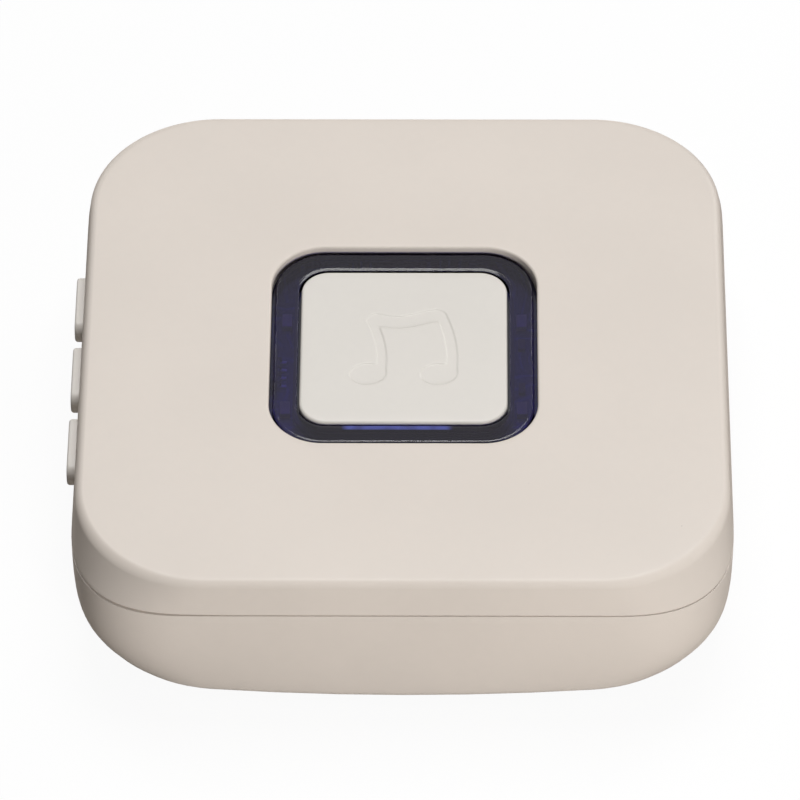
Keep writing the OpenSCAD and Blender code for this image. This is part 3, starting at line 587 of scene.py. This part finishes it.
def smooth(t):
    """Smooth step from 0 to 1."""
    t = min(1.0, max(0.0, t))
    return t * t * (3 - 2 * t)


def rounded(hx, hy, r, steps, sides, full=1.0):
    """Points round a rounded rectangle whose corners are fuller than arcs where full is below 1."""
    turns = [math.pi / 2 * i / steps for i in range(steps + 1)]
    arc = [(max(0.0, math.cos(turn)) ** full, math.sin(turn) ** full) for turn in turns]
    ends = []
    for k, (sx, sy) in enumerate(((1, 1), (-1, 1), (-1, -1), (1, -1))):
        turned = arc if k % 2 == 0 else [(b, a) for a, b in arc]
        ends.append([(sx * (hx - r + r * a), sy * (hy - r + r * b)) for a, b in turned])
    points = []
    for k in range(4):
        points += ends[k]
        (x0, y0), (x1, y1) = ends[k][-1], ends[(k + 1) % 4][0]
        points += [(mix(x0, x1, i / sides), mix(y0, y1, i / sides)) for i in range(1, sides)]
    return points


def quarter(steps):
    """Pairs of inset and rise, from 0 to 1, round a quarter circle."""
    turns = [math.pi / 2 * i / steps for i in range(steps + 1)]
    return [(1 - math.cos(turn), math.sin(turn)) for turn in turns]


def loft(bm, rings, loop=False):
    """Quads between neighbouring rings of points, and from the last to the first for a loop."""
    made = [[bm.verts.new(p) for p in ring] for ring in rings]
    for low, high in zip(made, made[1:] + made[:1] if loop else made[1:]):
        n = len(low)
        for i in range(n):
            j = (i + 1) % n
            bm.faces.new((low[i], low[j], high[j], high[i]))
    return made


def piece(name, bm, body, node, material):
    """Turns a mesh into a piece that rides on a body and stands for a CAD node."""
    bmesh.ops.recalc_face_normals(bm, faces=bm.faces)
    for face in bm.faces:
        face.smooth = True
    for edge in bm.edges:
        edge.smooth = len(edge.link_faces) == 2 and edge.calc_face_angle(0.0) < SHARP
    mesh = bpy.data.meshes.new(name)
    bm.to_mesh(mesh)
    bm.free()
    made = bpy.data.objects.new(name, mesh)
    bpy.context.scene.collection.objects.link(made)
    mesh.materials.append(material)
    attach(made, body)
    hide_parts(node)


def shading_group():
    """Modifier nodes that shade smooth across shallow edges and keep the others sharp."""
    name = "smooth_across_shallow_edges"
    if name in bpy.data.node_groups:
        return bpy.data.node_groups[name]
    group = bpy.data.node_groups.new(name, "GeometryNodeTree")
    group.interface.new_socket("Mesh", in_out="INPUT", socket_type="NodeSocketGeometry")
    group.interface.new_socket("Mesh", in_out="OUTPUT", socket_type="NodeSocketGeometry")
    n = Nodes(group)
    start = n.node("NodeGroupInput")
    plain = n.node("GeometryNodeRemoveAttribute", None, {"Geometry": start, "Name": "custom_normal"})
    fold = n.node("GeometryNodeInputMeshEdgeAngle", output="Unsigned Angle")
    shallow = n.node("FunctionNodeCompare", {"operation": "LESS_THAN"}, {"A": fold, "B": SHARP})
    faces = n.node("GeometryNodeSetShadeSmooth", None, {"Geometry": plain})
    edges = n.node("GeometryNodeSetShadeSmooth", {"domain": "EDGE"}, {"Geometry": faces, "Shade Smooth": shallow})
    n.node("NodeGroupOutput", None, {0: edges})
    return group


def dress(nodes, material, ease=0.0):
    """Gives CAD nodes a finish, smooth shading and edges eased by that many millimetres."""
    for name in nodes:
        thing = frame["nodes"][name]
        thing.material_slots[0].material = material
        weld = thing.modifiers.new("weld", "WELD")
        weld.merge_threshold = WELDED
        if ease:
            bevel = thing.modifiers.new("eased_edges", "BEVEL")
            bevel.width = ease * MM
            bevel.segments = 2
            bevel.limit_method = "ANGLE"
            bevel.angle_limit = EASED
            bevel.use_clamp_overlap = True
        shade = thing.modifiers.new("shade", "NODES")
        shade.node_group = shading_group()


class CALLUNIT_OT_cover(bpy.types.Operator):
    """Make the upper shell with its rounded rim and its opening."""

    bl_idname = "callunit.cover"
    bl_label = "Upper Shell"

    def execute(self, context):
        s, steps = settings().shell, settings().corner_steps
        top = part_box("top_cover")[1].z
        seam = top - s.seam_drop
        sides, levels = 12, 10
        gape_from, gape_run = 1.5, 0.3
        dish_shares = (0.03, 0.1, 0.2, 0.3, 0.4, 0.5, 0.6, 0.7, 0.8, 0.9, 0.97)

        def gape(x, y):
            return s.seam_gape * smooth(((-x - y) / s.half - gape_from) / gape_run)

        def ring(h, r, z, share=0.0, full=1.0):
            return [(x, y, z + share * gape(x, y)) for x, y in rounded(h, h, r, steps, sides, full)]

        def wall(z, inset, share=0.0):
            q = (z - seam) / s.seam_drop
            corner = mix(s.seam_corner, s.top_corner, q) - inset
            return ring(s.half - s.lean * q - inset, corner, z, share, mix(s.seam_full, 1.0, q))

        inner, groove = s.half - s.wall, s.half - s.wall + s.lip_room
        groove_r = s.top_corner + s.lip_room
        start, rim_start = seam + s.seam_gap, top - s.rim
        ease = s.seam_ease
        rings = [ring(groove, groove_r, start, 1.0)]
        rings += [wall(start + ease * (1 - up), ease * into, 1.0) for into, up in reversed(quarter(SEAM_STEPS))]
        rings += [
            wall(mix(start + ease, rim_start, i / levels), 0.0, 1.0 - i / levels) for i in range(1, levels)
        ]
        rings += [wall(rim_start + s.rim * up, s.rim * into) for into, up in quarter(RIM_STEPS)]
        edge_h, edge_r = s.half - s.lean - s.rim, s.top_corner - s.rim
        lip_h, lip_r = s.mouth + s.mouth_edge, s.mouth_corner + s.mouth_edge
        rings += [
            ring(mix(edge_h, lip_h, t), mix(edge_r, lip_r, t), top - s.dish * smooth(t)) for t in dish_shares
        ]
        rings += [
            ring(
                s.mouth + s.mouth_edge * into,
                s.mouth_corner + s.mouth_edge * into,
                top - s.dish - s.mouth_edge * (1 - up),
            )
            for into, up in reversed(quarter(MOUTH_STEPS))
        ]
        rings += [
            ring(s.mouth, s.mouth_corner, top - s.roof),
            ring(inner, s.top_corner, top - s.roof),
            ring(inner, s.top_corner, seam + s.lip_height),
            ring(groove, groove_r, seam + s.lip_height),
        ]
        bm = bmesh.new()
        loft(bm, rings, True)
        piece("upper_shell", bm, "case", "top_cover", ivory_finish())
        return {"FINISHED"}


class CALLUNIT_OT_case(bpy.types.Operator):
    """Finish the lower shell, the battery door, the screws and the feet."""

    bl_idname = "callunit.case"
    bl_label = "Lower Shell"

    def execute(self, context):
        colour = settings().colour
        rubber = soft_matte("foot_rubber", colour.rubber, grain=0.18, rough=0.72, depth=0.01)
        dress(["bottom_case"], ivory_finish(), ease=0.1)
        dress(["battery_door"], ivory_finish(), ease=0.12)
        dress(["case_screws", "board_screws"], metal("screw_steel", colour.screw, rough=0.32), ease=0.06)
        dress(["rubber_feet"], rubber, ease=0.2)
        return {"FINISHED"}


class CALLUNIT_OT_ring(bpy.types.Operator):
    """Make the smoked light ring round the key."""

    bl_idname = "callunit.ring"
    bl_label = "Light Ring"

    def execute(self, context):
        s, key, steps = settings().shell, settings().key, settings().corner_steps
        low, high = (corner.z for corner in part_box("light_ring"))
        outer, outer_r = s.mouth - key.ring_gap, s.mouth_corner - key.ring_gap
        inner, inner_r = key.half + key.key_gap, key.corner + key.key_gap
        wide, wide_r = s.mouth + key.ring_flange, s.mouth_corner + key.ring_flange
        shelf = low + key.ring_flange_height
        slope, face = key.ring_slope, key.ring_slope + key.ring_strip
        deep = key.ring_slope_drop + key.ring_strip_drop
        bevel, bevel_drop, edge = key.ring_bevel, key.ring_bevel_drop, key.ring_edge
        sides = 8
        # Distance of the rings that keep the shading tight beside an edge
        near = 0.04 * MM

        def ring(h, r, z):
            return [(x, y, z) for x, y in rounded(h, h, r, steps, sides)]

        def from_outside(into, drop):
            return ring(outer - into, outer_r - into, high - drop)

        def from_inside(into, drop):
            return ring(inner + into, inner_r + into, high - drop)

        rings = [ring(inner, inner_r, low), ring(wide, wide_r, low), ring(wide, wide_r, shelf)]
        rings += [ring(outer, outer_r, shelf), from_outside(0.0, deep + near)]
        lip = [(0.0, deep), (slope, key.ring_strip_drop), (face, 0.0)]
        for (t0, d0), (t1, d1) in zip(lip, lip[1:]):
            tight = near / (t1 - t0)
            rings += [from_outside(mix(t0, t1, t), mix(d0, d1, t)) for t in (0.0, tight, 1 - tight)]
        rings += [from_outside(face + t, 0.0) for t in (0.0, near)]
        rings += [from_inside(bevel + t, 0.0) for t in (near, 0.0)]
        rings += [from_inside(bevel - near, bevel_drop * near / bevel)]
        rings += [
            from_inside(edge * into, bevel_drop + edge * (1 - up)) for into, up in reversed(quarter(RING_STEPS))
        ]
        bm = bmesh.new()
        loft(bm, rings, True)
        piece("light_ring_lens", bm, "case", "light_ring", smoked_lens("smoked_acrylic"))
        return {"FINISHED"}


def stroke(p, line, half):
    """Signed distance to a stroke of that half width along a line of points, with round ends."""
    best = np.full(len(p), FAR)
    for (ax, ay), (bx, by) in zip(line, line[1:]):
        ex, ey = bx - ax, by - ay
        t = np.clip(((p[:, 0] - ax) * ex + (p[:, 1] - ay) * ey) / (ex * ex + ey * ey), 0, 1)
        best = np.minimum(best, np.hypot(p[:, 0] - ax - t * ex, p[:, 1] - ay - t * ey))
    return best - half


def merged(a, b, round_off=0.35):
    """Union of two signed distances with the inner corners rounded off."""
    near = np.clip(0.5 + 0.5 * (b - a) / round_off, 0, 1)
    return b + (a - b) * near - round_off * near * (1 - near)


def note_distance(p):
    """Signed distance in millimetres to the pair of beamed notes, for points on the key."""
    heads, head_y, head_l, head_w, tilt = (-4.16, 4.1), -4.35, 2.15, 1.68, math.radians(6)
    # Right side where the bow is widest, strength of the bow, half width and top of each stem
    stems = ((-2.0, 0.035, 0.55, 4.2), (6.28, 0.0267, 0.62, 5.0))
    stem_foot, widest = -3.9, -2.0
    beam_start, beam_end, beam_half, sag = (-3.2, 4.35), (3.75, 5.02), 0.97, 0.9

    best = np.full(len(p), FAR)
    for x in heads:
        u = (p[:, 0] - x) * math.cos(tilt) + (p[:, 1] - head_y) * math.sin(tilt)
        v = (p[:, 1] - head_y) * math.cos(tilt) - (p[:, 0] - x) * math.sin(tilt)
        out = np.hypot(u / head_l, v / head_w)
        slope = np.hypot(u / head_l ** 2, v / head_w ** 2) + 1e-9
        best = np.minimum(best, out * (out - 1) / slope)
    for x, bow, half, top in stems:
        line = [(x - half - bow * (y - widest) ** 2, y) for y in np.linspace(stem_foot, top, 12)]
        best = merged(best, stroke(p, line, half))
    beam = []
    for u in np.linspace(0, 1, 15):
        hang = sag * math.sin(math.pi * u) * math.sqrt(1 - u)
        beam.append((mix(beam_start[0], beam_end[0], u), mix(beam_start[1], beam_end[1], u) - hang))
    return merged(best, stroke(p, beam, beam_half))


class CALLUNIT_OT_key(bpy.types.Operator):
    """Make the square key with the note symbol pressed into it."""

    bl_idname = "callunit.key"
    bl_label = "Square Key"

    def execute(self, context):
        key = settings().key
        low, high = (corner.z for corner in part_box("call_button"))
        # Squares along a side of the note's mesh, and steps round the key's corners
        count, steps = 208, 22
        bm = bmesh.new()
        made = loft(bm, self.body(low, high, count, steps))
        bm.faces.new(made[0])
        self.note(bm, made[-1], high, count)

        turns = np.linspace(0, 2 * math.pi, 40, endpoint=False)
        sunk = 0.1 * MM
        post = [
            [(key.post * math.cos(a), key.post * math.sin(a), z) for a in turns]
            for z in (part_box("call_switch_stem")[1].z, high - key.skin + sunk)
        ]
        for end in loft(bm, post):
            bm.faces.new(end)
        piece("square_key", bm, "call_key", "call_button", key_finish())
        return {"FINISHED"}

    def body(self, low, high, count, steps):
        """Rings of the key from the inside of its top, round the skirt, to near the note's mesh."""
        key = settings().key
        shelf = low + key.flange_height
        hollow, hollow_r = key.half - key.wall, key.corner - key.wall / 2
        wide, wide_r = key.half + key.flange, key.corner + key.flange

        def ring(h, r, z):
            return [(x, y, z) for x, y in rounded(h, h, r, steps, count - steps)]

        rings = [
            ring(hollow, hollow_r, high - key.skin),
            ring(hollow, hollow_r, low),
            ring(wide, wide_r, low),
            ring(wide, wide_r, shelf),
            ring(key.half, key.corner, shelf),
        ]
        rings += [
            ring(key.half - key.edge * into, key.corner - key.edge * into, high - key.edge * (1 - up))
            for into, up in quarter(KEY_STEPS)
        ]
        start = 3 * count + steps // 2
        rings = [r[start:] + r[:start] for r in rings]
        field = key.note_field
        ticks = [field * (2.0 * i / count - 1.0) for i in range(count)]
        square = [(field, t) for t in ticks] + [(-t, field) for t in ticks]
        square += [(-field, -t) for t in ticks] + [(t, -field) for t in ticks]
        outer = rings[-1]
        rings += [
            [(mix(a[0], b[0], t), mix(a[1], b[1], t), high) for a, b in zip(outer, square)] for t in (0.3, 0.65)
        ]
        return rings

    def note(self, bm, last, high, count):
        """Adds the fine mesh with the note pressed in and joins it to the last ring."""
        key = settings().key
        line = np.linspace(-key.note_field, key.note_field, count + 1)
        gx, gy = np.meshgrid(line, line, indexing="ij")
        flat = np.stack([gx.ravel(), gy.ravel()], -1)
        soft = key.note_edge / MM
        t = np.clip((soft - note_distance(flat / MM)) / (2 * soft), 0, 1)
        sink = key.note_depth * t * t * (3 - 2 * t)
        verts = [bm.verts.new((x, y, high - d)) for (x, y), d in zip(flat, sink)]

        def at(i, j):
            return verts[i * (count + 1) + j]

        for i in range(count):
            for j in range(count):
                bm.faces.new((at(i, j), at(i + 1, j), at(i + 1, j + 1), at(i, j + 1)))
        there, back = range(count), range(count, 0, -1)
        border = [at(count, j) for j in there] + [at(i, count) for i in back]
        border += [at(0, j) for j in back] + [at(i, 0) for i in there]
        for i in range(len(last)):
            j = (i + 1) % len(last)
            bm.faces.new((last[i], last[j], border[j], border[i]))


class CALLUNIT_OT_side_keys(bpy.types.Operator):
    """Make the three side keys."""

    bl_idname = "callunit.side_keys"
    bl_label = "Side Keys"

    def execute(self, context):
        key = settings().key
        hl, hh, r, e = key.side_length / 2, key.side_height / 2, key.side_corner, key.side_edge
        ease = 0.15 * MM
        corner_steps, sides = 10, 6
        # The side keys' finish is the key white made lighter, as painted light
        white = side_key_finish()
        for name in ("volume_up", "melody", "volume_down"):
            low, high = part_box(name + "_button")
            y0, z0 = (low.y + high.y) / 2, (low.z + high.z) / 2
            back, front = high.x, low.x
            shoulder = back - key.side_flange
            wide, tall = (high.y - low.y) / 2, (high.z - low.z) / 2

            def ring(h, v, corner, x):
                return [(x, y0 + a, z0 + b) for a, b in rounded(h, v, corner, corner_steps, sides)]

            rings = [
                ring(wide - ease, tall - ease, ease, back),
                ring(wide, tall, 2 * ease, back - ease),
                ring(wide, tall, 2 * ease, shoulder),
                ring(hl, hh, r, shoulder),
            ]
            rings += [
                ring(hl - e * into, hh - e * into, r - e * into, front + e * (1 - up))
                for into, up in quarter(SIDE_STEPS)
            ]
            rings += [ring((hl - e) * t, (hh - e) * t, (r - e) * t, front) for t in (0.8, 0.45, 0.12)]
            bm = bmesh.new()
            made = loft(bm, rings)
            bm.faces.new(made[0])
            bm.faces.new(made[-1])
            piece(name + "_cap", bm, name + "_key", name + "_button", white)
        return {"FINISHED"}


# Chips, with the distance in millimetres from the middle beyond which there are only pins
CHIPS = (("memory_chip", 1.96), ("controller_chip", 2.66))


class CALLUNIT_OT_board(bpy.types.Operator):
    """Finish the circuit board and everything on it."""

    bl_idname = "callunit.board"
    bl_label = "Circuit Board"

    def execute(self, context):
        colour = settings().colour
        tin = metal("tinned_metal", colour.tin, rough=0.3)
        resin = soft_matte("black_resin", colour.resin, grain=0.15, rough=0.5, depth=0.004)
        stems = soft_matte("stem_white", colour.stem, grain=0.2, rough=0.45, depth=0.004)
        ceramic = soft_matte("passive_ceramic", colour.ceramic, grain=0.1, rough=0.5, depth=0.003)
        sleeve = soft_matte("capacitor_sleeve", colour.sleeve, grain=0.5, rough=0.3, depth=0.003)
        foot_height = 0.45 * MM
        dress(["circuit_board"], board_lacquer("board_lacquer", colour.board, pitch=1.6), ease=0.05)
        dress(["radio_module"], board_lacquer("radio_lacquer", colour.radio, pitch=1.1))
        for name, half in CHIPS:
            low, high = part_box(name)
            middle, foot = (low.x + high.x) / 2, low.z + foot_height
            dress([name], chip_resin(name + "_resin", middle, half * MM, foot), ease=0.04)
        dress(["call_switch", "radio_crystal"], tin, ease=0.06)
        dress(["call_switch_stem", "side_switches"], resin, ease=0.05)
        dress(["volume_up_stem", "melody_stem", "volume_down_stem"], stems, ease=0.05)
        dress(["ring_leds"], lamp_resin("lamp_resin"), ease=0.05)
        dress(["board_passives"], ceramic, ease=0.04)
        dress(["antenna_wire"], metal("wire_brass", colour.brass, rough=0.28))
        dress(["capacitor"], sleeve, ease=0.25)
        return {"FINISHED"}


class CALLUNIT_OT_sound_and_power(bpy.types.Operator):
    """Finish the speaker, the cells and their contacts."""

    bl_idname = "callunit.sound_and_power"
    bl_label = "Speaker and Cells"

    def execute(self, context):
        colour = settings().colour
        magnet = soft_matte("magnet_black", colour.magnet, grain=0.3, rough=0.4, depth=0.004)
        cone = soft_matte("cone_film", colour.cone, grain=0.25, rough=0.5, depth=0.01)
        foam = soft_matte("foam_black", colour.foam, grain=0.35, rough=0.85, depth=0.05)
        wire = soft_matte("wire_red", colour.wire, grain=0.4, rough=0.4, depth=0.002)
        strips = metal("contact_tin", colour.contact, rough=0.26, along=(30, 1, 1))
        dress(["speaker_frame"], metal("frame_steel", colour.frame, rough=0.36), ease=0.05)
        dress(["speaker_magnet"], magnet, ease=0.2)
        dress(["speaker_cone"], cone)
        dress(["speaker_gasket"], foam)
        dress(["speaker_wires"], wire)
        dress(["battery_cells"], cell_sleeve("cell_sleeve"), ease=0.2)
        dress(["positive_contact", "negative_contact", "bridge_contact"], strips, ease=0.06)
        return {"FINISHED"}


# Name, place, aim, width and height in metres, and whether gloss mirrors the lamp
LAMPS = (
    ("overhead_box", (0.03, 0.33, 0.83), (0, 0, 0), 0.5, 0.5, True),
    ("right_back_box", (0.50, 0.75, 0.45), (0, 0, 0.01), 0.3, 0.3, True),
    ("left_back_box", (-0.50, 0.75, 0.45), (0, 0, 0.01), 0.3, 0.3, True),
    ("front_right_box", (0.45, -0.72, 0.12), (0, 0, 0.01), 0.25, 0.2, False),
    ("front_box", (0.06, -0.25, 0.09), (0, 0, 0.01), 0.08, 0.08, False),
)


def area_lamp(name, place, aim, width, height, mirrored):
    """A soft box pointed at a place. One that isn't mirrored leaves no glare on gloss."""
    data = bpy.data.lights.new(name, "AREA")
    data.shape = "RECTANGLE"
    data.size, data.size_y = width, height
    data.energy = getattr(settings().stage, name)
    lamp = bpy.data.objects.new(name, data)
    lamp.visible_glossy = mirrored
    lamp.location = place
    lamp.rotation_euler = (Vector(aim) - Vector(place)).to_track_quat("-Z", "Y").to_euler()
    bpy.context.scene.collection.objects.link(lamp)


class CALLUNIT_OT_stage(bpy.types.Operator):
    """Make the floor, the soft light and the camera."""

    bl_idname = "callunit.stage"
    bl_label = "Stage"

    def execute(self, context):
        scene = context.scene
        scene.view_settings.view_transform = "Standard"
        self.make_camera(scene)
        self.make_floor(scene)
        self.make_world(scene)
        for lamp in LAMPS:
            area_lamp(*lamp)
        return {"FINISHED"}

    def make_camera(self, scene):
        """Camera fitted to the photo."""
        s = settings().stage
        e, a = s.elevation, s.azimuth
        back = Vector((math.sin(a) * math.cos(e), -math.cos(a) * math.cos(e), math.sin(e)))
        right = (-back).cross(Vector((0, 0, 1))).normalized()
        up = right.cross(-back)
        c, n = math.cos(s.roll), math.sin(s.roll)
        x, y = c * right + n * up, c * up - n * right
        data = bpy.data.cameras.new("camera")
        data.sensor_width = SENSOR
        data.lens = s.lens
        data.shift_x, data.shift_y = s.shift
        data.clip_start, data.clip_end = 0.01, 50.0
        camera = bpy.data.objects.new("camera", data)
        place = Vector((0, 0, s.aim)) + back * s.distance
        camera.matrix_world = Matrix.Translation(place) @ Matrix((x, y, back)).transposed().to_4x4()
        scene.collection.objects.link(camera)
        scene.camera = camera

    def make_floor(self, scene):
        """Floor that looks white and throws less light back, least of all on the left."""
        f = Finish("pale_floor")
        colour = settings().colour
        seen = f.seen("Is Transmission Ray")
        grain = f.noise(0.8, 2.0)
        dark_to, dark_from = -0.12, -0.035
        left = f.below(f.axes()[0], dark_to, dark_from)
        bright = f.blend(grain, shifted(colour.floor, -0.01), shifted(colour.floor, 0.01))
        dim = f.blend(grain, shifted(colour.floor_left, -0.005), shifted(colour.floor_left, 0.005))
        lit = f.shader(
            Base_Color=f.blend(seen, f.blend(left, bright, dim), WHITE[:3]), Roughness=1.0, Specular_IOR_Level=0.0
        )
        glow = f.node("ShaderNodeEmission", None, {"Color": WHITE, "Strength": 1.0})
        half, drop = 6.0, 0.02 * MM
        bm = bmesh.new()
        bmesh.ops.create_grid(bm, x_segments=8, y_segments=8, size=half)
        mesh = bpy.data.meshes.new("floor")
        bm.to_mesh(mesh)
        bm.free()
        mesh.materials.append(f.finish(f.mixed(seen * settings().stage.glow, lit, glow)))
        floor = bpy.data.objects.new("floor", mesh)
        floor.location.z = -drop
        scene.collection.objects.link(floor)

    def make_world(self, scene):
        """Dim light from all round that the camera and gloss see as white."""
        world = bpy.data.worlds.new("studio")
        world.use_nodes = True
        scene.world = world
        n = Nodes(world.node_tree)
        ambient = (*settings().colour.ambient, 1.0)
        dim = n.node("ShaderNodeBackground", None, {"Color": ambient, "Strength": settings().stage.ambient})
        white = n.node("ShaderNodeBackground", None, {"Color": WHITE, "Strength": 1.0})
        seen = n.seen("Is Glossy Ray", "Is Transmission Ray")
        both = n.node("ShaderNodeMixShader", None, {0: seen, 1: dim, 2: white})
        n.node("ShaderNodeOutputWorld", None, {"Surface": both})


class CALLUNIT_PT_panel(bpy.types.Panel):
    """Lists the pieces and the sizes and colours that can be changed."""

    bl_idname = "CALLUNIT_PT_panel"
    bl_label = "Call Unit"
    bl_space_type = "VIEW_3D"
    bl_region_type = "UI"
    bl_category = "Call Unit"

    def draw(self, context):
        column = self.layout.column()
        for operator in OPERATORS:
            column.operator(operator.bl_idname)
        column.prop(settings(), "corner_steps")
        for group in (settings().shell, settings().key, settings().colour, settings().stage):
            box = self.layout.box()
            for name in group.__annotations__:
                box.prop(group, name)


OPERATORS = (
    CALLUNIT_OT_cover,
    CALLUNIT_OT_case,
    CALLUNIT_OT_ring,
    CALLUNIT_OT_key,
    CALLUNIT_OT_side_keys,
    CALLUNIT_OT_board,
    CALLUNIT_OT_sound_and_power,
    CALLUNIT_OT_stage,
)
CLASSES = (ShellSizes, KeySizes, Colours, StageSettings, CallUnit, *OPERATORS, CALLUNIT_PT_panel)


def register():
    for made in CLASSES:
        bpy.utils.register_class(made)
    bpy.types.Scene.call_unit = PointerProperty(type=CallUnit)


def unregister():
    del bpy.types.Scene.call_unit
    for made in reversed(CLASSES):
        bpy.utils.unregister_class(made)


def main():
    register()
    bpy.ops.callunit.stage()
    bpy.ops.callunit.cover()
    bpy.ops.callunit.case()
    bpy.ops.callunit.ring()
    bpy.ops.callunit.key()
    bpy.ops.callunit.side_keys()
    bpy.ops.callunit.board()
    bpy.ops.callunit.sound_and_power()


if __name__ == "__main__":
    main()
